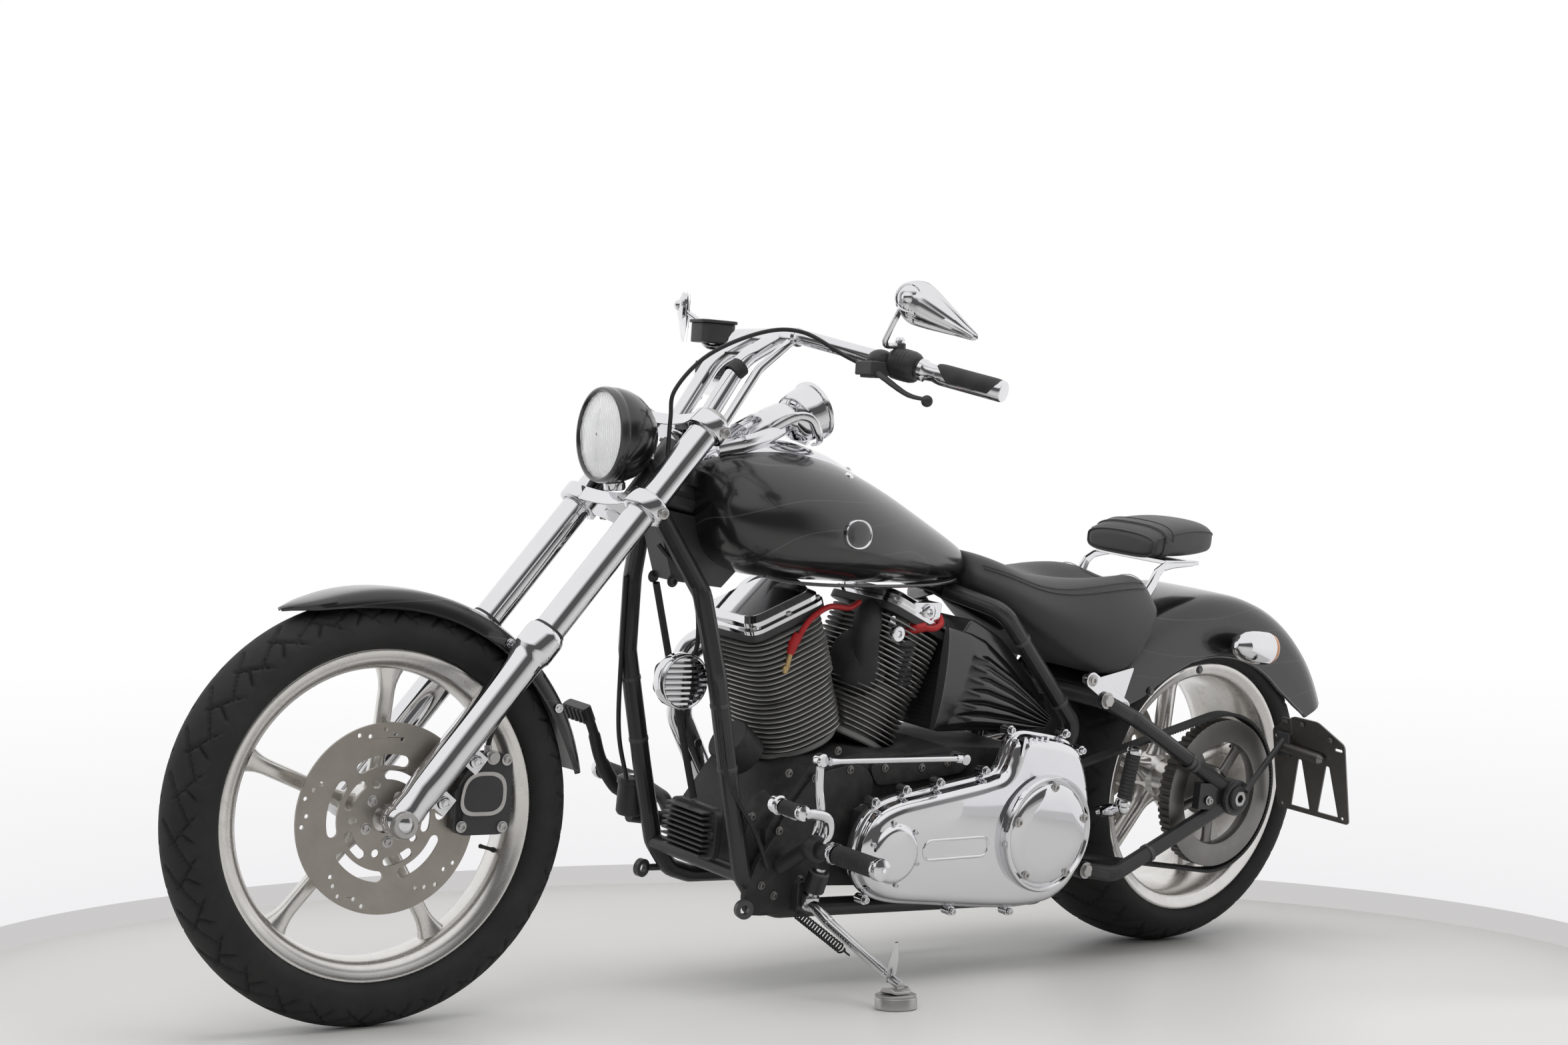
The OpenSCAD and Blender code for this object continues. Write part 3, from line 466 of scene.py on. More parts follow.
def body_paint():
    """Satin black with faint ghost flames and fine metallic flake."""
    f = Finish("body_paint")
    flow = f.stretched((0.55, 0.9, 1.0))
    tongues = f.add("TexWave", {"wave_type": "BANDS", "bands_direction": "Z"},
                    {"Vector": flow, "Scale": 2.6, "Distortion": 7.5, "Detail": 1.2,
                     "Detail Scale": 1.3, "Detail Roughness": 0.4}, 1)
    line = (1.0 - ((tongues - 0.5) ** 2.0 * 900.0)).above(0.0, 0.8)
    flake = f.cells(2600.0, output="Color")
    glint = f.add("SeparateColor", {}, {"Color": flake}, 0)
    haze = f.noise(11.0, 3.0)
    shade = f.blend(line * 0.35, (0.0075, 0.0075, 0.008), (0.075, 0.075, 0.08))
    shade = f.blend(glint.above(0.8, 0.2) * 0.10, shade, (0.09, 0.09, 0.095))
    gloss = 0.20 + haze * 0.09
    return f.done(Base_Color=shade, Roughness=gloss, Coat_Weight=0.55, Coat_Roughness=0.10,
                  Normal=f.bump(f.noise(420.0, 1.0), 0.0002, 0.08))


def hide(name="leather_hide", tone=(0.018, 0.018, 0.019)):
    """Grained leather with creases and a light sheen on its worn crown."""
    f = Finish(name)
    grain = f.cells(640.0, "DISTANCE_TO_EDGE")
    pores = f.noise(1500.0, 2.0)
    wear = f.noise(7.0, 4.0, 0.6)
    height = (grain * 6.0).above(0.0, 0.6) * 0.8 + pores * 0.2
    shade = f.blend(wear, tone, tuple(c * 2.1 for c in tone))
    shade = f.blend((1.0 - height) * 0.4, shade, tuple(c * 0.4 for c in tone))
    return f.done(Base_Color=shade, Roughness=0.36 + wear * 0.22, Sheen_Weight=0.08,
                  Normal=f.bump(height, 0.0007, 0.45))


def soft_rubber(name="soft_rubber", tone=(0.016, 0.016, 0.017), rough=0.55):
    f = Finish(name)
    bloom = f.noise(26.0, 5.0, 0.65)
    grit = f.noise(1200.0, 2.0)
    shade = f.blend(bloom.above(0.4, 0.5), tone, tuple(c * 2.2 + 0.004 for c in tone))
    return f.done(Base_Color=shade, Roughness=rough + bloom * 0.2, Normal=f.bump(grit, 0.0004, 0.3))


def tyre_rubber():
    f = Finish("tyre_rubber")
    dust = f.noise(18.0, 6.0, 0.7)
    scuff = f.noise(90.0, 4.0, 0.6, f.stretched((1.0, 0.2, 1.0)))
    grit = f.noise(900.0, 3.0)
    shade = f.blend(dust.above(0.42, 0.45), (0.008, 0.008, 0.0085), (0.021, 0.0205, 0.020))
    rough = 0.58 + dust * 0.2 + scuff * 0.1
    return f.done(Base_Color=shade, Roughness=rough, Normal=f.bump(grit + scuff, 0.0006, 0.3))


def wrinkle_coat():
    """Matt wrinkle finish of the crankcase."""
    f = Finish("wrinkle_coat")
    folds = f.cells(520.0, "SMOOTH_F1")
    grime = f.noise(24.0, 6.0, 0.7)
    shade = f.blend(grime.above(0.45, 0.4), (0.013, 0.013, 0.014), (0.045, 0.043, 0.041))
    return f.done(Base_Color=shade, Roughness=0.42 + grime * 0.25, Normal=f.bump(folds, 0.0008, 0.5))


def clear_glass(name, tone=(1, 1, 1), rough=0.02):
    f = Finish(name)
    flaws = f.noise(60.0, 2.0)
    return f.done(Base_Color=tone, Roughness=rough + flaws * 0.03, Transmission_Weight=0.92, IOR=1.46)


def fluted_lens():
    """Pressed glass over a bright bowl, drawn as a pale opaque lens: its colour is a painted reflection of
    the bowl, with painted highlights and shade along the ridges that run up and down it.
    """
    f = Finish("fluted_lens")
    side = f.add("SeparateXYZ", {}, {"Vector": f.where}, "Y")
    ridges = f.add("Math", {"operation": "SINE"}, {0: side * 1190.0}) * 0.5 + 0.5
    cloud = f.noise(24.0, 3.0, 0.6)
    # painted reflection of the bowl: a pale tone, run lighter and darker along the ridges as painted
    # highlights and shade
    shade = f.blend(ridges * 0.55 + cloud * 0.4, (0.95, 0.95, 0.96), (0.66, 0.67, 0.68))
    rough = 0.06 + cloud * 0.08
    return f.done(Base_Color=shade, Metallic=0.10, Roughness=rough, Coat_Weight=0.9,
                  Normal=f.bump(ridges, 0.0012, 0.7))


def amber_lens():
    f = Finish("amber_lens")
    cells = f.cells(420.0)
    shade = f.blend(cells * 1.2, (0.85, 0.33, 0.02), (0.62, 0.17, 0.01))
    return f.done(Base_Color=shade, Roughness=0.12 + cells * 0.1, Transmission_Weight=0.35,
                  Coat_Weight=0.6, Normal=f.bump(cells, 0.0008, 0.4))


def wire_cover(name, tone):
    f = Finish(name)
    marks = f.noise(55.0, 4.0, 0.6)
    shade = f.blend(marks, tone, tuple(c * 0.55 for c in tone))
    return f.done(Base_Color=shade, Roughness=0.38 + marks * 0.25, Normal=f.bump(marks, 0.0003, 0.3))


def fin_metal():
    """Black fins whose milled rims are left bright."""
    f = Finish("fin_metal")
    soot = f.noise(40.0, 5.0, 0.6)
    edge = f.add("NewGeometry", {}, {}, "Pointiness").above(0.53, 0.05)
    shade = f.blend(edge * 0.5, f.blend(soot, (0.012, 0.012, 0.013), (0.03, 0.03, 0.03)),
                    (0.35, 0.35, 0.34))
    return f.done(Base_Color=shade, Roughness=0.40 + soot * 0.2, Normal=f.bump(soot, 0.0004, 0.2))


CHROME = chrome_plate()
SOFT_CHROME = chrome_plate("soft_chrome", (0.70, 0.70, 0.71), 0.13)
ALLOY = polished_alloy()
DISC_STEEL = turned_metal("disc_steel", (0.46, 0.43, 0.39), (0.33, 0.30, 0.27), 0.28)
STEEL = turned_metal("machined_steel", (0.62, 0.61, 0.60), (0.46, 0.45, 0.44), 0.24)
DARK_STEEL = turned_metal("dark_steel", (0.30, 0.29, 0.28), (0.19, 0.185, 0.18), 0.30)
BRIGHT_RIM = turned_metal("milled_rim", (0.60, 0.59, 0.58), (0.36, 0.35, 0.34), 0.26)
FRAME_BLACK = powder_coat("frame_black", (0.010, 0.010, 0.011))
SATIN_BLACK = powder_coat("satin_black", (0.014, 0.014, 0.015), 0.42, 1400.0, 0.0005, 0.1)
GLOSS_BLACK = powder_coat("gloss_black", (0.007, 0.007, 0.0075), 0.14, 300.0, 0.0002, 0.7)
PAINT = body_paint()
LEATHER = hide()
RUBBER = soft_rubber()
TYRE = tyre_rubber()
ENGINE_BLACK = wrinkle_coat()
FINS = fin_metal()
GLASS = clear_glass("lamp_glass")
LENS = fluted_lens()
AMBER = amber_lens()
RED_WIRE = wire_cover("red_wire", (0.42, 0.012, 0.015))
BLACK_WIRE = wire_cover("black_wire", (0.014, 0.014, 0.015))
BRASS = turned_metal("brass_fitting", (0.62, 0.45, 0.22), (0.42, 0.30, 0.15), 0.3)


# ---------- paths and lofts ----------


def bent(points, bend=40.0, steps=6):
    """Line of points whose corners are rounded to one bend radius."""
    points = [Vector(p) for p in points]
    path = [points[0]]
    for a, b, c in zip(points, points[1:], points[2:]):
        before, after = a - b, c - b
        reach = bend / tan(max(before.angle(after), 0.2) / 2)
        reach = min(reach, before.length * 0.48, after.length * 0.48)
        start, end = b + before.normalized() * reach, b + after.normalized() * reach
        for k in range(steps + 1):
            t = k / steps
            path.append((1 - t) ** 2 * start + 2 * t * (1 - t) * b + t * t * end)
    return path + [points[-1]]


def eased(table, x):
    """Value at x of a table of (x, value) rows, joined by a smooth curve."""
    if x <= table[0][0]:
        return table[0][1]
    for i in range(len(table) - 1):
        (x0, y0), (x1, y1) = table[i], table[i + 1]
        if x <= x1:
            before = table[i - 1] if i else (2 * x0 - x1, 2 * y0 - y1)
            after = table[i + 2] if i + 2 < len(table) else (2 * x1 - x0, 2 * y1 - y0)
            m0 = (y1 - before[1]) / (x1 - before[0]) * (x1 - x0)
            m1 = (after[1] - y0) / (after[0] - x0) * (x1 - x0)
            t = (x - x0) / (x1 - x0)
            return ((2 * t ** 3 - 3 * t * t + 1) * y0 + (t ** 3 - 2 * t * t + t) * m0
                    + (3 * t * t - 2 * t ** 3) * y1 + (t ** 3 - t * t) * m1)
    return table[-1][1]


def both(build):
    """Calls build(side) for the left and the right."""
    for side in (1, -1):
        build(side)


# ---------- wheels ----------

FRONT_TYRE_R, FRONT_TYRE_W = 328.5, 113
REAR_TYRE_R, REAR_TYRE_W = 321.5, 240
FRONT_FLANGE_R, REAR_FLANGE_R = 255.5, 243
FRONT_RIM_W, REAR_RIM_W = 80, 216
DISC_R = 146
FRONT_DISC_Y, REAR_DISC_Y = 60.5, -138
PULLEY_R, PULLEY_Y = 143, 154
AXLE_R = 12.5
AT_FRONT = Matrix.Translation(FRONT_AXLE) @ TURNED
AT_REAR = Matrix.Translation(REAR_AXLE) @ TURNED
FRONT_SIDE = Matrix.Translation(FRONT_AXLE) @ SIDE
REAR_SIDE = Matrix.Translation(REAR_AXLE) @ SIDE


def groove_depth(turn, share, repeats, depth, width, tyre_r):
    """How deep the tread is cut at an angle and at a share of the half width."""
    pitch = 2 * pi / repeats
    deepest = 0.0
    cuts = ((0.0, 1.15, 0.10, 0.90), (0.5, -0.75, 0.42, 0.97), (0.25, 0.30, 0.62, 0.97))
    for offset, sweep, inner, outer in cuts:
        for side in (-1, 1):
            reach = share * side
            if not inner < reach < outer:
                continue
            run = (reach - inner) / (outer - inner)
            middle = (offset + (0.5 if side < 0 else 0.0) + sweep * run ** 1.6) * pitch
            away = abs((turn - middle + pitch / 2) % pitch - pitch / 2) * tyre_r
            fade = min(1.0, min(reach - inner, outer - reach) * 14)
            deepest = max(deepest, depth * fade * max(0.0, 1 - (away / width) ** 4))
    return deepest


def tyre(name, node, body, place, size, tread):
    """Carcass with rim guard and cut tread: size is outer and flange radius, widths, bead."""
    outer_r, flange_r, width, rim_w = size
    repeats, depth, groove_w, turns = tread
    half = width / 2 - 0.4
    middle_r = flange_r + (22 if width < 200 else 20)
    bead_y = rim_w / 2 - 5
    rows = []
    for i in range(8):
        t = radians(90 * i / 7)
        r = middle_r - (middle_r - flange_r) * cos(t)
        rows.append((r, bead_y + (half - bead_y) * sin(t), 0.0))
    crown = 44
    for i in range(1, crown):
        t = pi * i / crown
        rows.append((middle_r + (outer_r - middle_r) * sin(t), half * cos(t),
                     cos(t)))
    rows += [(r, -y, 0.0) for r, y, share in rows[7::-1]]
    rows += [(flange_r - 12, -bead_y + 4, 0.0), (flange_r - 12, bead_y - 4, 0.0)]
    rings = []
    for k in range(turns):
        turn = 2 * pi * k / turns
        ring = []
        for i, (r, y, share) in enumerate(rows):
            if 8 <= i < 7 + crown:
                normal_r = sqrt(1 - share * share * 0.75)
                cut = groove_depth(turn, share, repeats, depth, groove_w, outer_r)
                r -= cut * normal_r
                y -= cut * share * 0.6
            ring.append((r * cos(turn), r * sin(turn), y))
        rings.append(ring)
    shape = Shape().rings(rings, place, closed=True)
    shape.make(name, body, "tyre", TYRE, stands=(node,), sharp=50)


def rim_profile(flange_r, rim_w, step):
    """Closed section of a rim: flange, polished lip, drop and well, from one side to the other."""
    half = rim_w / 2
    side = [(flange_r, half - 5), (flange_r, half - 1), (flange_r - 2, half), (flange_r - 5, half),
            (flange_r - 9, half - 2), (flange_r - 14, half - 3.5), (flange_r - 17, half - 5.5),
            (flange_r - 20, half - 6), (flange_r - 26, half - 12)]
    side += [(flange_r - 30 - step, half * 0.62), (flange_r - 33 - step, half * 0.30)]
    inner = side + [(flange_r - 34 - step, 0)] + [(r, -h) for r, h in side[::-1]]
    seat = flange_r - 15
    return inner + [(seat, -half + 5), (seat - 3, -half * 0.5), (seat - 12, 0), (seat - 3, half * 0.5),
                    (seat, half - 5)]


def spoke(shape, angle, place, hub_r, rim_r, sizes):
    """Round waisted spoke with flared feet: sizes are its half widths and thicknesses."""
    hub_w, waist_w, foot_w, hub_t, waist_t, foot_t = sizes
    direction = Vector((cos(angle), sin(angle), 0))
    across = Vector((-sin(angle), cos(angle), 0))
    rings = []
    for i in range(17):
        t = i / 16
        hub_flare = max(0.0, 1 - t / 0.22) ** 2
        foot_flare = max(0.0, (t - 0.80) / 0.20) ** 2
        w = waist_w + (hub_w - waist_w) * hub_flare + (foot_w - waist_w) * foot_flare
        d = waist_t + (hub_t - waist_t) * hub_flare + (foot_t - waist_t) * foot_flare
        centre = direction * (hub_r + (rim_r - hub_r) * t)
        ring = []
        for k in range(20):
            turn = 2 * pi * k / 20
            c, s = cos(turn), sin(turn)
            c, s = (copysign(abs(v) ** 0.75, v) for v in (c, s))
            ring.append(centre + across * w * c + Vector((0, 0, d * s)))
        rings.append(ring)
    shape.rings(rings, place)


def wheel(name, node, body, place, flange_r, rim_w, hub, spoke_sizes, first_angle):
    step = 0 if rim_w < 120 else 3
    shape = Shape().lathe(rim_profile(flange_r, rim_w, step), place, 128, closed=True)
    hub_half, hub_r = hub
    bore = AXLE_R + 0.05
    shape.lathe([(bore, hub_half), (hub_r - 12, hub_half), (hub_r - 9, hub_half - 3),
                 (hub_r - 8, 26), (hub_r, 18), (hub_r, -18), (hub_r - 8, -26),
                 (hub_r - 9, -hub_half + 3), (hub_r - 12, -hub_half), (bore, -hub_half)],
                place, 64, closed=True)
    for i in range(5):
        angle = radians(first_angle + 72 * i)
        # the turned frame runs the other way round than the side view
        spoke(shape, -angle, place, hub_r - 6, flange_r - 32 - step, spoke_sizes)
    shape.make(name, body, "wheel_alloy", ALLOY, stands=(node,), sharp=40)


def valve(body, place, angle, rim_r, y):
    angle = radians(angle)
    out = Vector((cos(-angle), sin(-angle), 0))
    foot = out * rim_r + Vector((0, 0, y))
    tip = out * (rim_r - 30) + Vector((0, 0, y + 10))
    shape = Shape().tube([foot, foot * 0.75 + tip * 0.25, foot * 0.25 + tip * 0.75, tip],
                         [4.5, 3, 3, 3.6], 12, place)
    shape.make(body + "_valve", body, "rubber", BLACK_WIRE)


def drilled_disc(name, node, body, place, mid_y, spin):
    """Floating disc: drilled friction ring, swept windows, and a carrier with its own windows."""
    outlines = [circle(DISC_R, 120), circle(22.5, 48)]
    for i in range(5):
        base = spin + 72 * i
        for r, away in ((136, -16), (129, -9), (136, 2), (128, 9), (121, 15)):
            t = radians(base + away)
            outlines.append(circle(3.6, 14, r * cos(t), r * sin(t)))
        outlines.append(slot_outline(89, 8.5, base - 24, base + 22))
        outlines.append(slot_outline(66, 7, base + 6, base + 38))
        t = radians(base - 14)
        outlines.append(circle(6.5, 18, 55 * cos(t), 55 * sin(t)))
    shape = Shape().cut_sheet(outlines, mid_y - 2.5, mid_y + 2.5, place)
    shape.make(name, body, "disc_steel", DISC_STEEL, stands=(node,), bevel=0.5)
    screws = Shape()
    face = 1 if mid_y > 0 else -1
    for i in range(5):
        t = radians(spin + 36 + 72 * i)
        head = place @ Vector((36 * cos(t), 36 * sin(t), mid_y + face * 2.5))
        foot = place @ Vector((36 * cos(t), 36 * sin(t), mid_y))
        screws.bolt(head, foot, 6, 6)
    screws.make(name + "_screws", body, "disc_steel", STEEL)


def wheels():
    tyre("front_tyre_cut", "front_tyre", "front_wheel", AT_FRONT,
         (FRONT_TYRE_R, FRONT_FLANGE_R, FRONT_TYRE_W, FRONT_RIM_W), (30, 4.8, 3.8, 720))
    tyre("rear_tyre_cut", "rear_tyre", "rear_wheel", AT_REAR,
         (REAR_TYRE_R, REAR_FLANGE_R, REAR_TYRE_W, REAR_RIM_W), (26, 4.8, 4.2, 600))
    wheel("front_rim_cast", "front_rim", "front_wheel", AT_FRONT, FRONT_FLANGE_R, FRONT_RIM_W,
          (52, 42), (20, 12.5, 23, 15, 11, 16), 23)
    wheel("rear_rim_cast", "rear_rim", "rear_wheel", AT_REAR, REAR_FLANGE_R, REAR_RIM_W,
          (118, 48), (26, 15, 30, 22, 16, 24), 20)
    drilled_disc("front_disc_drilled", "front_disc", "front_wheel", FRONT_SIDE, FRONT_DISC_Y, 12)
    drilled_disc("rear_disc_drilled", "rear_disc", "rear_wheel", REAR_SIDE, REAR_DISC_Y, 30)
    spacer = Shape().lathe([(AXLE_R + 0.1, -118), (44, -118), (44, -134), (AXLE_R + 0.1, -134)],
                           AT_REAR, 48, closed=True)
    spacer.make("rear_disc_hub", "rear_wheel", "disc_steel", ALLOY)
    valve("front_wheel", AT_FRONT, 197, 222, 6)
    valve("rear_wheel", AT_REAR, 160, 208, 30)


def pulley():
    """Toothed belt pulley with a dished spoked web."""
    teeth = []
    count = 64
    for i in range(count):
        base = 360 * i / count
        for share, r in ((0.0, PULLEY_R - 4), (0.30, PULLEY_R - 4), (0.42, PULLEY_R),
                         (0.88, PULLEY_R)):
            t = radians(base + share * 360 / count)
            teeth.append((r * cos(t), r * sin(t)))
    shape = Shape().cut_sheet([teeth, circle(126, 96)], PULLEY_Y - 14.5, PULLEY_Y + 14.5, REAR_SIDE)
    shape.lathe([(PULLEY_R - 4, PULLEY_Y + 11), (PULLEY_R - 0.5, PULLEY_Y + 12.5),
                 (PULLEY_R - 0.5, PULLEY_Y + 15), (104, PULLEY_Y + 15), (100, PULLEY_Y + 13),
                 (98, PULLEY_Y + 4), (100, PULLEY_Y - 8), (126, PULLEY_Y - 10)], AT_REAR, 96,
                closed=True)
    shape.lathe([(AXLE_R + 0.1, PULLEY_Y), (30, PULLEY_Y), (48, PULLEY_Y - 8), (50, 119),
                 (AXLE_R + 0.1, 119)], AT_REAR, 64, closed=True)
    for i in range(5):
        angle = radians(-54 - 72 * i)
        spoke(shape, angle, AT_REAR @ at(0, 0, PULLEY_Y - 8), 40, 104, (16, 11, 20, 8, 6, 8))
    shape.make("rear_pulley_toothed", "rear_wheel", "disc_steel", DARK_STEEL,
               stands=("rear_pulley",), bevel=0.4)
    screws = Shape()
    for i in range(5):
        t = radians(18 + 72 * i)
        head = REAR_SIDE @ Vector((38 * cos(t), 38 * sin(t), PULLEY_Y - 1))
        screws.hex_head(head, head - Vector((0, 4, 0)), 6.5, 6)
    screws.make("rear_pulley_bolts", "rear_wheel", "disc_steel", STEEL)


def belt():
    """Belt with teeth on its inner face, round the wheel pulley and forward into the case."""
    front, front_r, inner_r = Vector((520, 300)), 52, 149
    rear = Vector((REAR_AXLE.x, REAR_AXLE.z))
    way = front - rear
    turn = atan2(way.y, way.x)
    wrap = acos((inner_r - front_r) / way.length)
    line = []
    for i in range(73):
        a = turn + wrap + (2 * pi - 2 * wrap) * i / 72
        line.append((rear, inner_r, a))
    for i in range(25):
        a = turn - wrap + 2 * wrap * i / 24
        line.append((front, front_r, a))
    points = [(c + Vector((cos(a), sin(a))) * r, Vector((cos(a), sin(a))))
              for c, r, a in line]
    # even steps of one tooth along the loop
    loop = points + [points[0]]
    spots, walked, step = [], 0.0, 7.0
    for (a, na), (b, nb) in zip(loop, loop[1:]):
        length = (b - a).length
        while walked <= length:
            t = walked / length if length else 0
            spots.append((a.lerp(b, t), na.lerp(nb, t).normalized()))
            walked += step / 2
        walked -= length
    outer = [p + n * 7.5 for p, n in spots]
    inner = [p + n * (0.4 if i % 2 else 3.6) for i, (p, n) in enumerate(spots)]
    low, high = PULLEY_Y - 12.5, PULLEY_Y + 12.5
    rings = [[(o.x, low, o.y), (o.x, high, o.y), (i.x, high, i.y), (i.x, low, i.y)]
             for o, i in zip(outer, inner)]
    Shape().rings(rings, closed=True).make("drive_belt_toothed", "frame", "rubber", RUBBER,
                                           stands=("drive_belt",), sharp=25)


wheels()
pulley()
belt()


# ---------- fork ----------

AXLE_PLACE = Matrix.Translation(FRONT_AXLE) @ TURNED
LOW_CLAMP, TOP_CLAMP, CLAMP_T = 645, 815, 30


def fork_legs():
    sliders, tubes, seals, ends = Shape(), Shape(), Shape(), Shape()
    for side in (1, -1):
        here = leg(side)
        sliders.lathe([(0, -15), (15, -15), (22, -12), (26, -6), (27, 4), (27, 26), (25.6, 40),
                       (27.4, 60), (28, 90), (28, 316), (29, 324), (31.6, 330), (32.2, 335),
                       (32.2, 361), (31, 368), (28, 372), (24.6, 372)], here, 64)
        sliders.ball((0, 0, 2), (29, 29, 26), here, 16, 40)
        tubes.lathe([(24.5, 330), (24.5, 811)], here, 64)
        seals.lathe([(24.6, 371), (27.2, 371), (27.2, 374), (25.6, 377), (24.6, 377)], here, 48,
                    closed=True)
        ends.lathe([(24.4, 800), (24.4, 817), (23, 820), (17, 824), (15, 824.5), (13.5, 822),
                    (7, 822), (0, 822)], here, 48)
        ring = [(12.7, side * 100), (21, side * 100), (21, side * 131), (19, side * 134),
                (12.7, side * 134)]
        ends.lathe(ring, AXLE_PLACE, 48, closed=True)
    sliders.make("fork_slider_castings", "steering", "chrome", CHROME, stands=("fork_sliders",))
    tubes.make("fork_tube_pair", "steering", "chrome", CHROME, stands=("fork_tubes",))
    seals.make("fork_dust_seals", "steering", "rubber", RUBBER)
    ends.make("fork_caps_and_axle_ends", "steering", "steel", STEEL)
    lugs = Shape()
    for height in (70, 150):
        place = UP_LEG @ at(0, 0, height)
        lugs.block((-60, 72, -16), (-18, 92, 16), place)
        lugs.bolt(place @ Vector((-46, 96, 0)), place @ Vector((-46, 80, 0)), 7, 7)
    lugs.make("caliper_lugs", "steering", "chrome", CHROME, bevel=4)


def tree(name, node, height, leg_r, stem_r, drop):
    """Fork clamp: a barrel round each tube, a waisted bridge and a stem boss."""
    low, high = height - CLAMP_T, height
    shape = Shape()
    for side in (1, -1):
        shape.lathe([(24.6, low), (leg_r - 3, low), (leg_r - 1, low + 1.2), (leg_r, low + 4),
                     (leg_r, high - 5), (leg_r - 1.4, high - 1.4), (leg_r - 5, high),
                     (24.6, high)], leg(side), 56, closed=True)
    front = [(14, -LEG_Y), (22, -80), (17, -45), (14, 0), (17, 45), (22, 80), (14, LEG_Y)]
    rear = [(-20, LEG_Y), (-24, 70), (-38, 36), (-stem_r - 28, 10), (-stem_r - 28, -10), (-38, -36),
            (-24, -70), (-20, -LEG_Y)]
    outline = [tuple(p)[:2] for p in smooth_path([(x, y, 0) for x, y in front], 4)]
    outline += [tuple(p)[:2] for p in smooth_path([(x, y, 0) for x, y in rear], 4)]
    shape.plate(outline, low + 2 + drop, high - 2, UP_LEG)
    shape.lathe([(0, low), (stem_r - 2, low), (stem_r, low + 3), (stem_r, high - 3),
                 (stem_r - 2, high), (0, high)], UP_LEG @ at(-30, 0, 0), 48)
    shape.make(name, "steering", "chrome", CHROME, stands=(node,), bevel=3)
    bolts = Shape()
    for side in (1, -1):
        rear = Vector((-leg_r + 4, side * (LEG_Y - 26), (low + high) / 2))
        bolts.bolt(UP_LEG @ (rear - Vector((5, 0, 0))), UP_LEG @ rear, 6, 6)
        outer = Vector((-14, side * (LEG_Y + leg_r - 3), (low + high) / 2))
        bolts.bolt(UP_LEG @ (outer + Vector((0, side * 3.5, 0))), UP_LEG @ outer, 6.5, 4)
    if height == TOP_CLAMP:
        top = UP_LEG @ at(-30, 0, high)
        bolts.lathe([(0, 0), (19, 0), (19, 3), (17, 12), (14, 14), (0, 14)], top, 6)
    bolts.make(name + "_bolts", "steering", "steel", STEEL)


def headlight():
    place = at(1392, 0, 930) @ Matrix.Rotation(radians(-90), 4, "Y")
    bucket = Shape().lathe([(71, 2), (76, 6), (77.5, 12), (77.5, 22), (75, 36), (69, 52), (59, 66),
                            (46, 78), (30, 88), (14, 95), (0, 97), (0, 94), (12, 92), (44, 75),
                            (60, 60), (70, 36), (72, 12)], place, 72)
    bucket.make("headlight_bucket", "steering", "gloss_black", GLOSS_BLACK, stands=("headlight",))
    Shape().lathe([(69, 3), (70, -3), (72.5, -6), (76, -5), (78, 0), (78, 8), (76, 12), (71, 12)],
                  place, 72, closed=True).make("headlight_bezel", "steering", "gloss_black",
                                               GLOSS_BLACK)
    bowl = [(69, 4)] + [(68 * cos(radians(a)), 6 + 42 * sin(radians(a)))
                        for a in range(6, 86, 8)]
    Shape().lathe(bowl + [(5, 50), (5, 52), (70, 10)], place, 64, closed=True).make(
        "headlight_reflector", "steering", "chrome", CHROME)
    bulb = Shape().lathe([(0, 10), (7, 11), (9, 16), (9, 32), (6, 36), (6, 50), (0, 50)], place, 24)
    bulb.make("headlight_bulb", "steering", "chrome", SOFT_CHROME)
    # fluted lens: the flutes run up and down it
    rows, turns = 22, 96
    rings = []
    for side in (0, 1):
        for i in range(rows):
            r = 70 * (1 - i / rows) if not side else 70 * ((i + 1) / rows)
            ring = []
            for k in range(turns):
                t = 2 * pi * k / turns
                x, y = r * cos(t), r * sin(t)
                dome = -9.5 + 9 * (r / 70) ** 2
                flute = 0.55 * cos(y * 2 * pi / 5.2) if not side else 2.6
                ring.append((x, y, dome + flute))
            rings.append(ring)
    lens = Shape().rings(rings, place, caps=False, closed=True)
    lens.make("headlight_lens", "steering", "chrome", LENS)
    stalk = Shape().lathe([(0, 0), (16, 0), (18, 3), (18, 12), (11, 18), (10, 30), (0, 30)],
                          aim((1362, 0, 842), (1366, 0, 872)), 32)
    stalk.tube([(1318, 44, 900), (1340, 30, 900), (1352, 10, 902)], 5)
    stalk.tube([(1318, -44, 900), (1340, -30, 900), (1352, -10, 902)], 5)
    stalk.make("headlight_stalk", "steering", "chrome", CHROME)
    loom = Shape()
    for offset in (-14, -4, 8, 17):
        loom.tube(smooth_path([(1322, offset, 912), (1305, offset * 1.8, 880), (1292, offset * 1.4, 830),
                               (1300, offset, 790)]), 4.5, 10)
    loom.make("headlight_loom", "steering", "rubber", BLACK_WIRE)


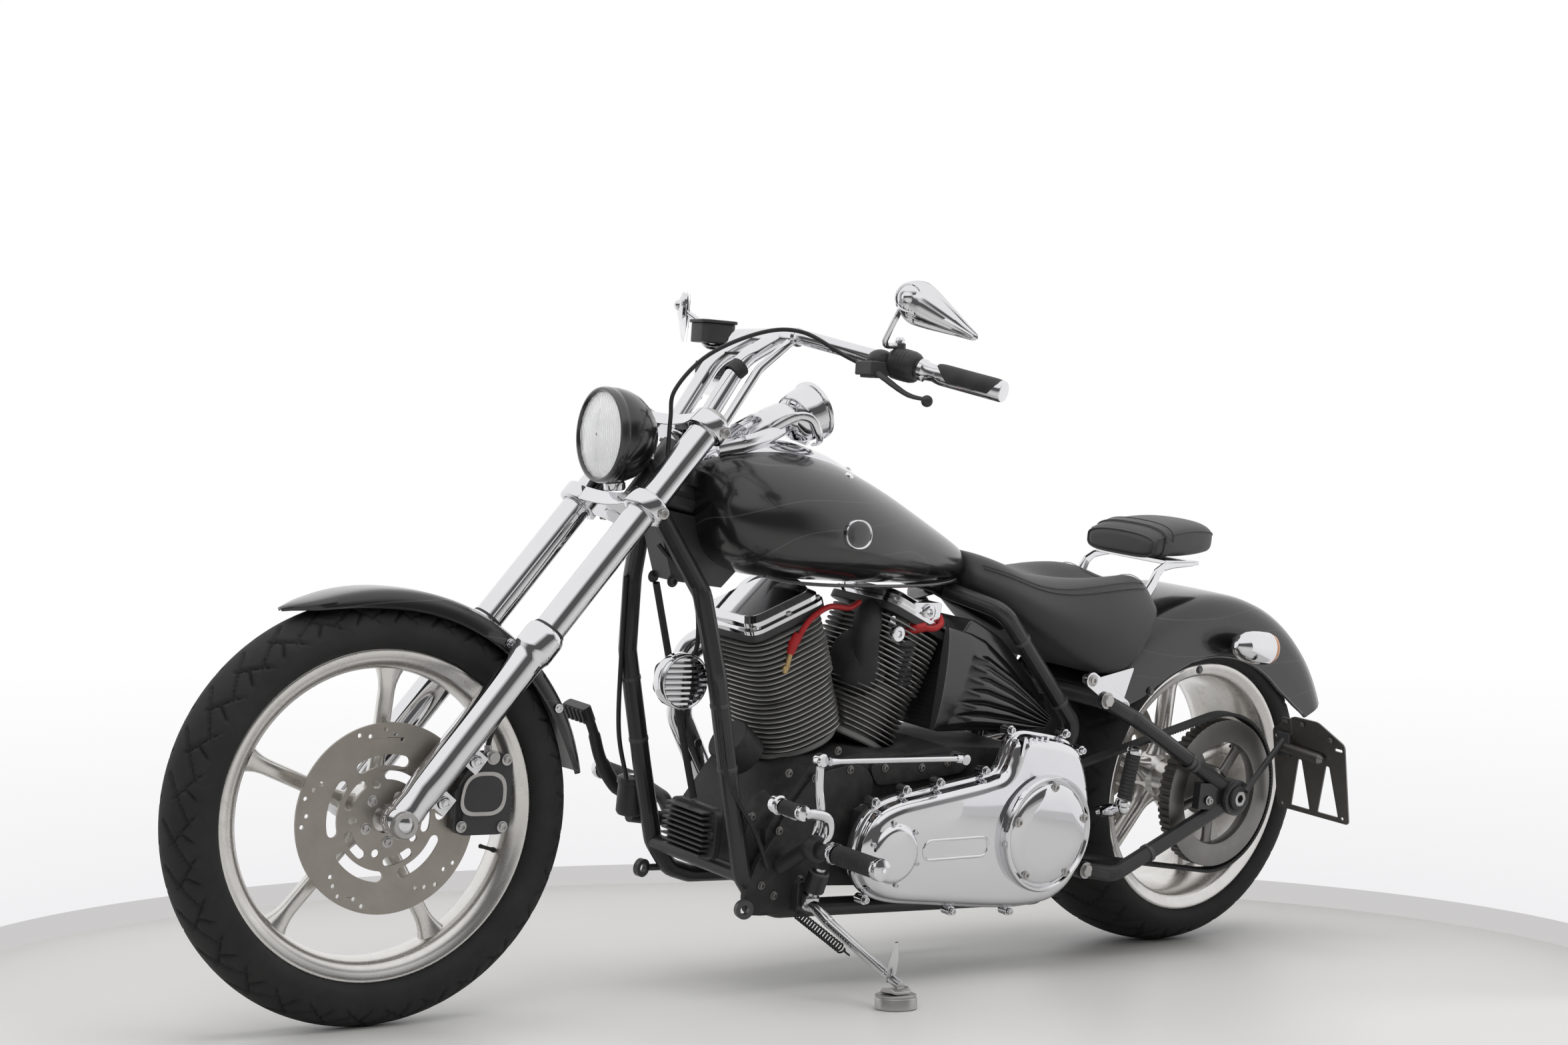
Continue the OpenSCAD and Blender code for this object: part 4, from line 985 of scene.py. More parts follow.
def front_fender():
    """Thin ribbed sheet over the tyre: upturned pointed tip in front, small tab behind."""
    radius = 346.5
    rings = []
    steps = 60
    for i in range(steps + 1):
        t = i / steps
        angle = radians(170 - 108 * t)
        width = eased([(0, 46), (0.10, 56), (0.3, 58), (0.8, 58), (0.93, 44), (1.0, 6)], t)
        lift = eased([(0, 3), (0.08, 0), (0.9, 0), (1.0, 5)], t)
        skirt = eased([(0, 12), (0.12, 24), (0.3, 28), (0.75, 26), (0.93, 12), (1.0, 2)], t)
        outer = [(-width, radius - skirt), (-width * 0.97, radius - skirt * 0.5),
                 (-width * 0.86, radius - skirt * 0.16), (-width * 0.66, radius),
                 (-width * 0.3, radius + 1), (0, radius + 1.4)]
        outer += [(-y, r) for y, r in outer[-2::-1]]
        inner = [(y * 0.96, r - 3.2) for y, r in outer[::-1]]
        ring = []
        for y, r in outer + inner:
            ring.append((FRONT_AXLE.x + (r + lift) * cos(angle), y,
                         FRONT_AXLE.z + (r + lift) * sin(angle)))
        rings.append(ring)
    shape = Shape().rings(rings)
    shape.make("front_fender_sheet", "steering", "paint_black", PAINT, stands=("front_fender",),
               bevel=0.8)
    stays = Shape()
    for side in (1, -1):
        for height in (322, 350):
            place = UP_LEG @ at(0, 0, height)
            stays.rod(place @ Vector((-6, side * 55, 0)), place @ Vector((-6, side * 76, 0)), 7)
        for turn in (150, 126):
            t = radians(turn)
            spot = FRONT_AXLE + Vector((330 * cos(t), side * 57.5, 330 * sin(t)))
            stays.bolt(spot + Vector((0, side * 2, 0)), spot, 5, 3)
    stays.make("front_fender_stays", "steering", "chrome", CHROME, bevel=1)


def front_caliper():
    outline = rounded([(1560, 304), (1656, 304), (1656, 378), (1620, 430), (1560, 430)], 22, 6)
    body = Shape().plate(outline, 67, 84).plate(outline, 47, 54)
    body.plate([(1640, 306), (1657, 314), (1657, 372), (1640, 392)], 50, 84)
    inset = rounded([(1576, 340), (1646, 340), (1646, 396), (1576, 396)], 26, 8)
    body.plate(inset, 84, 86)
    body.make("front_caliper_body", "steering", "frame_black", SATIN_BLACK,
              stands=("front_caliper",), bevel=2.5)
    trim = Shape().cut_sheet([rounded([(1570, 334), (1652, 334), (1640, 402), (1570, 402)], 30, 8),
                              rounded([(1576, 340), (1646, 340), (1636, 396), (1576, 396)], 26, 8)],
                             84.5, 86.6)
    for x, z in ((1572, 420), (1574, 316), (1644, 318)):
        trim.bolt((x, 86, z), (x, 78, z), 6, 6)
    trim.lathe([(0, 0), (11, 0), (11, 5), (8, 5), (8, 9), (0, 9)],
               aim((1597, 80, 424), (1597, 96, 424)) @ at(0, 0, 4), 24)
    trim.make("front_caliper_trim", "steering", "steel", STEEL)
    hose = Shape().tube(smooth_path([(1597, 66, 432), (1590, 67, 462), (1556, 70, 520),
                                     (1512, 72, 600), (1450, 72, 690), (1396, 66, 758),
                                     (1360, 56, 796)]), 4, 12)
    hose.make("brake_hose_smooth", "steering", "rubber", BLACK_WIRE, stands=("brake_hose",))
    ends = Shape()
    ends.rod((1360, 56, 796), (1350, 52, 806), 7).rod((1597, 68, 424), (1596, 66, 440), 6)
    ends.rod((1560, 70, 512), (1552, 70, 528), 5.6)
    ends.make("brake_hose_ends", "steering", "steel", STEEL)


# ---------- handlebar ----------

BAR_BEND, BAR_END = Vector((1085, 100, 1110)), Vector((928, 432, 1036))


def on_bar(share, side=1):
    spot = BAR_BEND.lerp(BAR_END, share) if share <= 1 else BAR_END + (BAR_END - BAR_BEND) * (share - 1)
    return Vector((spot.x, side * spot.y, spot.z))


def along_bar(share, side):
    return aim(on_bar(share, side), on_bar(share + 0.3, side))


def handlebar():
    bar = Shape()
    bar.tube(bent([on_bar(1, -1), on_bar(0, -1), on_bar(0), on_bar(1)], 60, 10), 12.7, 28)
    bar.tube([(1085, -94, 1110), (1085, -90, 1110), (1085, 90, 1110), (1085, 94, 1110)],
             [12.7, 15.9, 15.9, 12.7], 28)
    for side in (1, -1):
        foot = UP_LEG @ Vector((-18, side * 44, 815))
        knee, top = Vector((1160, side * 44, 1068)), Vector((1092, side * 44, 1108))
        bar.tube(bent([foot, knee, top], 90, 10), 14.9, 28)
        bar.lathe([(14, -3), (20, -3), (20, 4), (17, 8), (14, 8)], aim(foot, knee), 32, closed=True)
        thin = [foot + Vector((-10, side * 40, -6)), Vector((1152, side * 80, 1052)),
                Vector((1100, side * 88, 1100))]
        bar.tube(bent(thin, 60, 8), 7.5, 20)
    bar.make("handlebar_tubes", "steering", "chrome", CHROME, stands=("handlebar",))
    strap = Shape().lathe([(15, -12), (17, -11), (17, 11), (15, 12)], aim((1172, 44, 1050),
                                                                         (1130, 44, 1086)), 28,
                          closed=True)
    strap.block((1120, -52, 1092), (1150, 52, 1096), at(0, 0, -14))
    strap.make("bar_strap", "steering", "rubber", RUBBER, bevel=1)
    cable = smooth_path([(1046, 252, 1060), (1068, 200, 1082), (1110, 140, 1116), (1160, 96, 1112),
                         (1240, 66, 1070), (1292, 54, 1010), (1299, 56, 960), (1313, 70, 880),
                         (1356, 72, 841)])
    Shape().tube(cable, 3.5, 12).make("clutch_cable_smooth", "steering", "rubber", BLACK_WIRE,
                                      stands=("clutch_cable",))
    ferrules = Shape().tube([cable[0], cable[3]], 5.5, 16).tube([cable[-1], cable[-4]], 5.2, 16)
    ferrules.make("cable_ferrules", "steering", "steel", STEEL)


def grips():
    rubber, metal = Shape(), Shape()
    for side in (1, -1):
        place = along_bar(0.62, side)
        length = (on_bar(1.02) - on_bar(0.62)).length
        metal.lathe([(13, -2), (18.2, -2), (18.2, 5), (15.5, 8), (14.8, 12), (14.8, 24), (16.6, 30),
                     (17.4, 38), (17.4, length - 4), (16.4, length - 1), (12, length), (0, length)],
                    place, 48)
        # rubber pad wrapped round the upper part of the chrome sleeve
        level = (place.inverted().to_3x3() @ Vector((0, 0, 1)))
        top = atan2(level.y, level.x)
        rings = []
        for i in range(37):
            t = i / 36
            a = 30 + (length - 36) * t
            lift = 1.3 * min(1, t * 9, (1 - t) * 9) ** 0.5
            reach = radians(118) * min(1, 0.35 + t * 3, 0.35 + (1 - t) * 5)
            over = [(17.2 + lift, top - reach + 2 * reach * k / 28) for k in range(29)]
            under = [(16.2, u) for r, u in over[::-1]]
            rings.append([(r * cos(u), r * sin(u), a) for r, u in over + under])
        rubber.rings(rings, place)
    rubber.make("grip_rubbers", "steering", "rubber", RUBBER, stands=("grips",))
    metal.make("grip_rings", "steering", "chrome", CHROME)


def hand_controls():
    body, lever, dark = Shape(), Shape(), Shape()
    for side in (1, -1):
        place = along_bar(0.47, side)
        length = (on_bar(0.6) - on_bar(0.47)).length
        body.lathe([(14, -4), (19, -4), (21, 0), (25, 3), (26, 8), (26, length - 12),
                    (24, length - 5), (20, length), (14, length)], place, 36)
        for depth in (16, 22, 28):
            dark.lathe([(25.4, depth - 0.7), (26.3, depth - 0.7), (26.3, depth + 0.7),
                        (25.4, depth + 0.7)], place, 36, closed=True)
        clamp = on_bar(0.44, side)
        perch = Matrix.Translation(clamp)
        body.ball((12, 0, -2), (24, 20, 19), perch, 12, 24)
        body.block((8, -22, -26), (46, 22, -4), perch)
        body.block((18, -16, -30), (40, 16, -22), perch)
        pivot = on_bar(0.47, side) + Vector((34, 0, -14))
        blade = [pivot, on_bar(0.55, side) + Vector((46, 0, -22)),
                 on_bar(0.66, side) + Vector((44, 0, -38)), Vector((1006, side * 345, 1016))]
        lever.tube(smooth_path(blade), [9, 8.5, 8.5, 8, 8, 8, 8, 7.6, 7.6, 7, 7, 7, 6.5, 6.5, 6.2,
                                        6, 6, 6, 5.6, 5.6, 5.4, 5.2, 5, 5, 5], 14, flat=0.62)
        lever.ball((1005, side * 346, 1014), (9.5, 9.5, 9.5))
        lever.lathe([(0, -14), (9, -14), (9, 14), (0, 14)], Matrix.Translation(pivot), 24)
        body.tube([on_bar(0.5, side) + Vector((0, 0, 20)), on_bar(0.5, side) + Vector((0, 0, 33))], 10)
    box = on_bar(0.44, -1) + Vector((26, 0, 28))
    body.plate(rounded([(-34, -26), (34, -26), (34, 26), (-34, 26)], 12), 0, 34,
               Matrix.Translation(box))
    body.plate(rounded([(-37, -29), (37, -29), (37, 29), (-37, 29)], 12), 34, 40,
               Matrix.Translation(box))
    body.make("control_housings", "steering", "frame_black", SATIN_BLACK,
              stands=("hand_controls",), bevel=2)
    lever.make("hand_levers", "steering", "frame_black", SATIN_BLACK)
    dark.make("switch_joints", "steering", "rubber", RUBBER)


def mirrors():
    shell, glass = Shape(), Shape()
    for side in (1, -1):
        wide, tip = Vector((1040, side * 341, 1171)), Vector((985, side * 436, 1115))
        way = (tip - wide).normalized()
        up = (Vector((0, 0, 1)) - way * way.z).normalized()
        deep = way.cross(up) * side
        deep = deep if deep.x > 0 else -deep
        sizes = [(0, 0.6), (0.02, 11), (0.07, 20), (0.14, 28), (0.22, 33.5), (0.30, 34.8), (0.42, 31),
                 (0.60, 23), (0.80, 13.5), (0.93, 8), (0.985, 4.5), (1.0, 0.6)]
        rings = []
        for i in range(49):
            t = i / 48
            spot = wide - way * 32 + way * ((tip - wide).length + 36) * t
            h = eased(sizes, t)
            ring = []
            for k in range(40):
                a = 2 * pi * k / 40
                c, s = cos(a), sin(a)
                bulge = 0.44 if c > 0 else 0.12
                ribs = 1.3 * max(0.0, cos(s * 14)) * (1 if c > 0.2 and 0.30 < t < 0.95 else 0)
                ring.append(spot + up * h * s + deep * (h * bulge * c ** 3 if c > 0 else h * bulge * c)
                            + deep * (ribs + 2))
            rings.append(ring)
        shell.rings(rings)
        flat = []
        for i in range(49):
            t = i / 48
            spot = wide - way * 29 + way * ((tip - wide).length + 30) * t
            flat.append((spot, eased(sizes, t) * 0.90))
        outline = [s + up * h - deep * 2.6 for s, h in flat] + [s - up * h - deep * 2.6
                                                               for s, h in flat[::-1]]
        glass.add(outline + [p - deep * 1.2 for p in outline],
                  [list(range(98)), list(range(98, 196))[::-1]]
                  + [[k, (k + 1) % 98, 98 + (k + 1) % 98, 98 + k] for k in range(98)])
        hub = wide + deep * 15 - way * 4
        shell.ball(tuple(hub), (10, 10, 10))
        shell.lathe([(0, -6), (24, -6), (25, -3), (22, 0), (20, -1), (14, 3), (0, 4)],
                    aim(hub - deep * 3, hub + deep * 5), 40)
        stem = [on_bar(0.5, side) + Vector((0, 0, 29)), Vector((1044, side * 270, 1098)),
                Vector((1040, side * 300, 1146)), hub + deep * 4]
        shell.tube(bent(stem, 30), 5, 18)
        shell.lathe([(0, 0), (8.5, 0), (8.5, 9), (6, 12), (0, 12)],
                    aim(on_bar(0.5, side) + Vector((0, 0, 30)), on_bar(0.5, side) + Vector((0, 0, 60))),
                    6)
    shell.make("mirror_shells", "steering", "chrome", CHROME, stands=("mirrors",), sharp=50)
    glass.make("mirror_faces", "steering", "chrome", CHROME)


fork_legs()
tree("lower_tree", "lower_clamp", LOW_CLAMP, 35.5, 33, 0)
tree("upper_tree", "upper_clamp", TOP_CLAMP, 33, 31, 4)
headlight()
front_fender()
front_caliper()
handlebar()
grips()
hand_controls()
mirrors()


# ---------- tank, dash and gauge ----------

# half width, bottom, top and height of the widest line, for places along the bike
TANK_W = [(600, 6), (612, 34), (640, 56), (700, 82), (780, 107), (880, 134), (980, 151), (1060, 158),
          (1120, 156), (1170, 145), (1200, 128), (1218, 96), (1224, 60)]
TANK_LOW = [(600, 746), (612, 724), (640, 710), (700, 704), (800, 703), (920, 705), (1050, 709),
            (1120, 716), (1170, 732), (1200, 757), (1218, 800), (1224, 840)]
TANK_TOP = [(600, 752), (612, 768), (640, 783), (700, 811), (760, 839), (820, 866), (898, 896),
            (960, 915), (1040, 928), (1110, 928), (1170, 916), (1200, 898), (1218, 872), (1224, 846)]


def superellipse(count, square):
    ring = []
    for k in range(count):
        a = 2 * pi * k / count
        c, s = cos(a), sin(a)
        ring.append((copysign(abs(c) ** square, c), copysign(abs(s) ** square, s)))
    return ring


def fuel_tank():
    stations = [600, 603, 607, 612, 620, 630] + list(range(640, 1171, 12))
    stations += [1176, 1186, 1194, 1200, 1206, 1212, 1216, 1220, 1223, 1224]
    rings = []
    for x in stations:
        w, low, top = eased(TANK_W, x), eased(TANK_LOW, x), eased(TANK_TOP, x)
        wide_z = low + (top - low) * 0.40
        ring = []
        for c, s in superellipse(64, 0.86):
            z = wide_z + (top - wide_z if s > 0 else wide_z - low) * s
            # the crown is drawn in, so the sides roll up to a ridge
            pinch = 1 - 0.20 * max(0.0, s) ** 1.5
            ring.append((x, w * c * pinch, z))
        rings.append(ring)
    tank = Shape().rings(rings)
    tank.make("fuel_tank_shell", "frame", "paint_black", PAINT, stands=("fuel_tank",), sharp=80)
    seam = [(x, side_y, z) for x, side_y, z in
            [(x, eased(TANK_W, x) * 0.82, eased(TANK_LOW, x) + 4) for x in range(640, 1150, 20)]]
    welt = Shape().tube(seam, 3, 10).tube(mirrored(seam), 3, 10)
    welt.make("fuel_tank_welt", "frame", "paint_black", GLOSS_BLACK)
    # bare oval badge on each side, without any lettering
    oval = [(33 * c, 25 * s) for c, s in superellipse(48, 0.9)]
    badge, inlay = Shape(), Shape()

    def on_tank(side):
        x, z = 968, 800
        y = tank_side(x, z)
        slope = (tank_side(x, z + 15) - tank_side(x, z - 15)) / 30
        run = (tank_side(x + 20, z) - tank_side(x - 20, z)) / 40
        out = Vector((-run, 1, -slope)).normalized()
        frame_x = Vector((1, run, 0)).normalized()
        frame_z = out.cross(frame_x) * -1
        turn = Matrix((frame_x, frame_z, out)).transposed().to_4x4()
        place = Matrix.Translation((x, y, z)) @ turn
        if side < 0:
            place = Matrix.Diagonal((1, -1, 1, 1)) @ place
        badge.rings([[(x * k, y * k, z) for x, y in oval]
                     for k, z in ((1, -8), (1, 2.4), (0.97, 3.6), (0.92, 3.9), (0.88, 3.0), (0.84, 2.2))],
                    place)
        inlay.rings([[(x * k, y * k, z) for x, y in oval]
                     for k, z in ((0.85, 1.6), (0.84, 3.0), (0.6, 4.0), (0.3, 4.5), (0.02, 4.6))], place)
    both(on_tank)
    badge.make("tank_badge_rims", "frame", "chrome", CHROME)
    inlay.make("tank_badge_faces", "frame", "gloss_black", GLOSS_BLACK)


def tank_side(x, z):
    """Half width of the tank's side at a place along the bike and a height."""
    w, low, top = eased(TANK_W, x), eased(TANK_LOW, x), eased(TANK_TOP, x)
    wide_z = low + (top - low) * 0.40
    s = (z - wide_z) / ((top - wide_z) if z > wide_z else (wide_z - low))
    s = min(0.999, abs(s)) * (1 if z > wide_z else -1)
    c = (1 - abs(s) ** (1 / 0.86) ** 1 * abs(s) ** (1 / 0.86)) ** 0.5
    return w * c ** 0.86 * (1 - 0.20 * max(0.0, s) ** 1.5)


def dash():
    """Chrome saddle over the front of the tank, running back in a narrow spine strip."""
    widths = [(745, 2), (800, 9), (860, 17), (900, 28), (940, 46), (1000, 56), (1060, 60),
              (1120, 58), (1165, 44), (1192, 20), (1198, 8)]
    rings = []
    for i in range(57):
        x = 745 + (1198 - 745) * i / 56
        half, top = eased(widths, x), eased(TANK_TOP, x)
        crown = eased([(745, 1.5), (860, 4), (900, 7), (1000, 12), (1100, 13), (1165, 9),
                       (1198, 2)], x)
        outer, inner = [], []
        for k in range(17):
            share = -1 + k / 8
            drop = (share * half) ** 2 / 190
            z = top - drop + crown * (1 - share ** 4)
            outer.append((x, share * half, z))
            inner.append((x, share * half, top - drop - 6))
        rings.append(outer + inner[::-1])
    saddle = Shape().rings(rings)
    for side in (1, -1):
        path = [(1186, side * 26, 920), (1140, side * 40, 934), (1080, side * 30, 950),
                (1030, side * 16, 968), (1000, side * 8, 978)]
        saddle.tube(smooth_path(path), [14] * 8 + [13] * 8 + [12] * 8 + [11] * 9, 20, flat=0.7)
    saddle.make("dash_saddle", "frame", "chrome", CHROME, stands=("dash_console",), sharp=50)
    screws = Shape()
    screws.bolt((880, 0, eased(TANK_TOP, 880) + 7), (880, 0, 880), 5, 4)
    screws.bolt((1120, 0, 944), (1120, 0, 900), 6, 5)
    for side in (1, -1):
        cap = aim((940, side * 60, 884), (938, side * 66, 912))
        screws.lathe([(0, 0), (17, 0), (17, 9), (15, 12), (0, 12.5)], cap, 32)
    screws.make("dash_fittings", "frame", "chrome", CHROME)


def speedometer():
    centre, way = Vector((967, 0, 995)), Vector((-0.927, 0, 0.375))
    place = aim(centre - way * 72, centre)
    cup = Shape().lathe([(0, 2), (20, 4), (32, 10), (40, 20), (43.5, 30), (46.5, 48), (48.6, 61),
                         (49, 62), (48.6, 63), (51, 64), (52, 66), (51.6, 71), (49, 72), (46, 70),
                         (45.5, 62), (0, 62)], place, 80)
    for side in (1, -1):
        arm = [(1100, side * 18, 940), (1066, side * 30, 966), (1036, side * 43, 984),
               (1010, side * 49, 980), (990, side * 46, 956), (976, side * 32, 942), (968, side * 8, 937)]
        cup.tube(smooth_path(arm), [9] * 8 + [9] * 8 + [8] * 8 + [8] * 8 + [7] * 8 + [6] * 9, 18,
                 flat=0.6)
    cup.tube(smooth_path([(1120, 0, 942), (1080, 0, 962), (1044, 0, 978), (1020, 0, 976)]),
             [24] * 8 + [23] * 8 + [24] * 9, 28, flat=1.3)
    cup.make("gauge_cup", "frame", "chrome", CHROME, stands=("speedometer",))
    dial = Shape().lathe([(0, 63), (45, 63), (45, 64), (0, 64)], place, 64)
    dial.make("gauge_dial", "frame", "frame_black", SATIN_BLACK)
    marks = Shape()
    for i in range(41):
        t = radians(-135 + 270 * i / 40)
        long = 8 if i % 4 == 0 else 4.5
        spot = place @ at(0, 0, 64.2) @ Matrix.Rotation(t, 4, "Z")
        marks.block((-0.5, 40 - long, 0), (0.5, 40, 0.5), spot)
    marks.block((-1, -6, 0.6), (1, 32, 1.4), place @ at(0, 0, 64.4) @ Matrix.Rotation(2.0, 4, "Z"))
    marks.lathe([(0, 64), (5, 64), (4, 67), (0, 67.5)], place, 24)
    marks.make("gauge_marks", "frame", "steel", STEEL)
    Shape().lathe([(0, 70.4), (45.8, 68.6), (45.8, 69.6), (0, 71.4)], place, 64).make(
        "gauge_glass", "frame", "chrome", GLASS)


# ---------- seat and pillion pad ----------


def crowned(name, sections, finish_rounds, stands):
    """Cushion skin lofted through section rings, then padded."""
    shape = Shape().rings(sections)
    piece = shape.make(name, "frame", "leather", LEATHER, stands=stands, sharp=180,
                       rounds=finish_rounds)
    return piece


SEAT_TOP = [(176, 700), (190, 722), (212, 737), (250, 744), (310, 742), (370, 735), (430, 729),
            (484, 733), (548, 752), (590, 762), (612, 764)]
SEAT_W = [(176, 108), (190, 128), (215, 146), (270, 160), (330, 165), (400, 160), (470, 142),
          (540, 112), (590, 78), (612, 56)]
SEAT_LOW = [(176, 676), (200, 634), (250, 576), (305, 556), (370, 566), (440, 603), (520, 650),
            (580, 686), (612, 712)]


def seat_point(x, share):
    """Point of the seat's skin: share runs from the left hem (-1) over the top (0) to the right."""
    top, half, low = eased(SEAT_TOP, x), eased(SEAT_W, x), eased(SEAT_LOW, x)
    away = abs(share)
    side = 1 if share < 0 else -1
    dish = 50 * exp(-((x - 300) / 88) ** 2)
    rim, drop = 0.62, 24
    if away < rim:
        t = away / rim
        y = half * 0.80 * t
        z = top - dish * (0.5 + 0.5 * cos(pi * min(1.0, t * 1.12))) - drop * t ** 4
    else:
        t = (away - rim) / (1 - rim)
        y = half * (0.80 + 0.20 * sin(pi * 0.5 * min(1.0, t * 1.7)) - 0.10 * t ** 4)
        z = (top - drop) + (low - top + drop) * t ** 0.92
    return Vector((x, side * y, z))


def seat():
    sections = []
    stations = [176, 180, 190, 204] + list(range(220, 600, 20)) + [602, 612]
    for x in stations:
        ring = [seat_point(x, -1 + 2 * k / 40) for k in range(41)]
        low = [Vector((x, p.y * s, p.z - 4)) for p, s in ((ring[-1], 0.8), (ring[-1], 0.3),
                                                         (ring[0], 0.3), (ring[0], 0.8))]
        sections.append(ring + low)
    crowned("seat_cushion", sections, 1, ("seat",))
    thread = Shape()
    for side in (1, -1):
        for shift in (0.0, 0.035):
            line = [seat_point(x, -side * (0.60 + shift)) + Vector((0, 0, 1.2))
                    for x in range(228, 590, 6)]
            stitched(thread, line, 4.6)
    across = [seat_point(226, -0.6 + 1.2 * k / 60) + Vector((0, 0, 1.2)) for k in range(61)]
    stitched(thread, across, 4.6)
    thread.make("seat_stitches", "frame", "leather", BLACK_WIRE)
    crease = Shape().tube([seat_point(x, -0.16 + 0.10 * sin((x - 330) / 150 * pi))
                           + Vector((0, 0, -0.6)) for x in range(330, 486, 6)], 1.8, 8)
    crease.tube([seat_point(x, 0.16 - 0.10 * sin((x - 330) / 150 * pi))
                 + Vector((0, 0, -0.6)) for x in range(330, 486, 6)], 1.8, 8)
    crease.make("seat_crease", "frame", "leather", BLACK_WIRE)


def stitched(shape, line, pitch):
    """Row of short thread stitches along a line."""
    line = [Vector(p) for p in line]
    walked, nxt = 0.0, 0.0
    for a, b in zip(line, line[1:]):
        length = (b - a).length
        while nxt < walked + length:
            start = a.lerp(b, (nxt - walked) / length)
            way = (b - a) / length
            shape.tube([start, start + way * pitch * 0.68], 0.75, 6)
            nxt += pitch
        walked += length


# pad's half width, top and underside along the bike
PAD_W = [(-42, 0), (-40, 24), (-30, 46), (-6, 64), (50, 78), (120, 88), (160, 90), (174, 88), (179, 76)]
PAD_TOP = [(-42, 806), (-30, 822), (0, 835), (60, 839), (120, 832), (160, 820), (176, 808), (179, 800)]
PAD_LOW = [(-42, 796), (-30, 780), (0, 773), (60, 767), (150, 765), (174, 765), (179, 772)]


def pad_ring(x, grow=0.0, count=44):
    half, top, low = (eased(table, x) for table in (PAD_W, PAD_TOP, PAD_LOW))
    middle = low + (top - low) * 0.52
    ring = []
    for c, s in superellipse(count, 0.50):
        crown = (1 - c * c) * 6 if s > 0 else 0
        tall = (top - 6 - middle) if s > 0 else (middle - low)
        ring.append((x, (half + grow) * c, middle + (tall + grow) * s + crown))
    return ring


def pillion_pad():
    span = 221
    stations = [-42 + span * (0.5 - 0.5 * cos(pi * i / 30)) for i in range(31)]
    crowned("pillion_cushion", [pad_ring(x) for x in stations], 1, ("pillion_pad",))
    trim, thread = Shape(), Shape()
    for x, width in ((140, 12), (166, 9)):
        # sewn band across the pad, and the piping round its front face
        rings = [pad_ring(x + dx, grow) for dx, grow in ((-width, 0.3), (-width, 1.8), (0, 2.2),
                                                         (width, 1.8), (width, 0.3))]
        if x < 150:
            trim.rings(rings, caps=False)
        else:
            trim.tube(pad_ring(x + 9, 0.4) + pad_ring(x + 9, 0.4)[:1], 2.2, 8)
    for x in (130, 150):
        stitched(thread, pad_ring(x, 2.4)[:23], 4.4)
    for side in (1, -1):
        # side seam, half way up
        seam = []
        for i in range(61):
            x = -34 + 200 * i / 60
            ring = pad_ring(x, 0.3)
            seam.append(ring[2 if side > 0 else 20])
        trim.tube(seam, 1.4, 8)
    trim.make("pillion_piping", "frame", "leather", LEATHER, sharp=60)
    thread.make("pillion_stitches", "frame", "leather", BLACK_WIRE)
    arms, screws = Shape(), Shape()
    for side in (1, -1):
        # bar's middle line with its height and its thickness across the bike
        stations = [((58, 92, 760), 5, 5), ((70, 92, 758), 8, 7), ((120, 92, 755), 11, 8),
                    ((150, 92, 751), 15, 8), ((166, 93, 740), 20, 8), ((178, 94, 716), 24, 8),
                    ((190, 94, 700), 25, 8), ((206, 94, 676), 24, 8), ((224, 94, 650), 22, 8)]
        rings = []
        for i, ((x, y, z), tall, thick) in enumerate(stations):
            a, b = stations[max(0, i - 1)][0], stations[min(len(stations) - 1, i + 1)][0]
            way = Vector((b[0] - a[0], 0, b[2] - a[2])).normalized()
            across = Vector((way.z, 0, -way.x)) * tall / 2
            spot = Vector((x, side * y, z))
            out = Vector((0, side * thick / 2, 0))
            rings.append([spot + across * 0.7 + out, spot + across + out * 0.4, spot + across - out * 0.4,
                          spot + across * 0.7 - out, spot - across * 0.7 - out,
                          spot - across - out * 0.4, spot - across + out * 0.4,
                          spot - across * 0.7 + out])
        arms.rings(rings)
        arms.block((50, -92, 756), (146, 92, 764)) if side > 0 else None
        # fin below the seat, then the strap plate with its two big screws
        fin = rounded([(352, 552), (262, 570), (284, 500), (330, 520)], 6)
        near, far = sorted((side * 146, side * 152))
        arms.plate(fin, near, far)
        low = min(side * 158, side * 165)
        a, b = Vector((383, 549)), Vector((292, 497))
        turn = degrees(atan2(b.y - a.y, b.x - a.x))
        outline = arc(15, turn + 90, turn + 270, 10, a.x, a.y) + arc(15, turn - 90, turn + 90, 10, b.x, b.y)
        arms.plate(outline, low, low + 7)
        for spot in (a, b):
            head = (spot.x, side * 165.5, spot.y)
            screws.bolt(head, (spot.x, side * 150, spot.y), 7.5, 4)
            screws.rod((spot.x, side * 158, spot.y), (spot.x, side * 146, spot.y), 9)
    arms.make("pillion_arms", "frame", "chrome", CHROME, stands=("pillion_bracket",), bevel=1)
    screws.make("pillion_bolts", "frame", "steel", STEEL)


# ---------- rear fender and lamps ----------


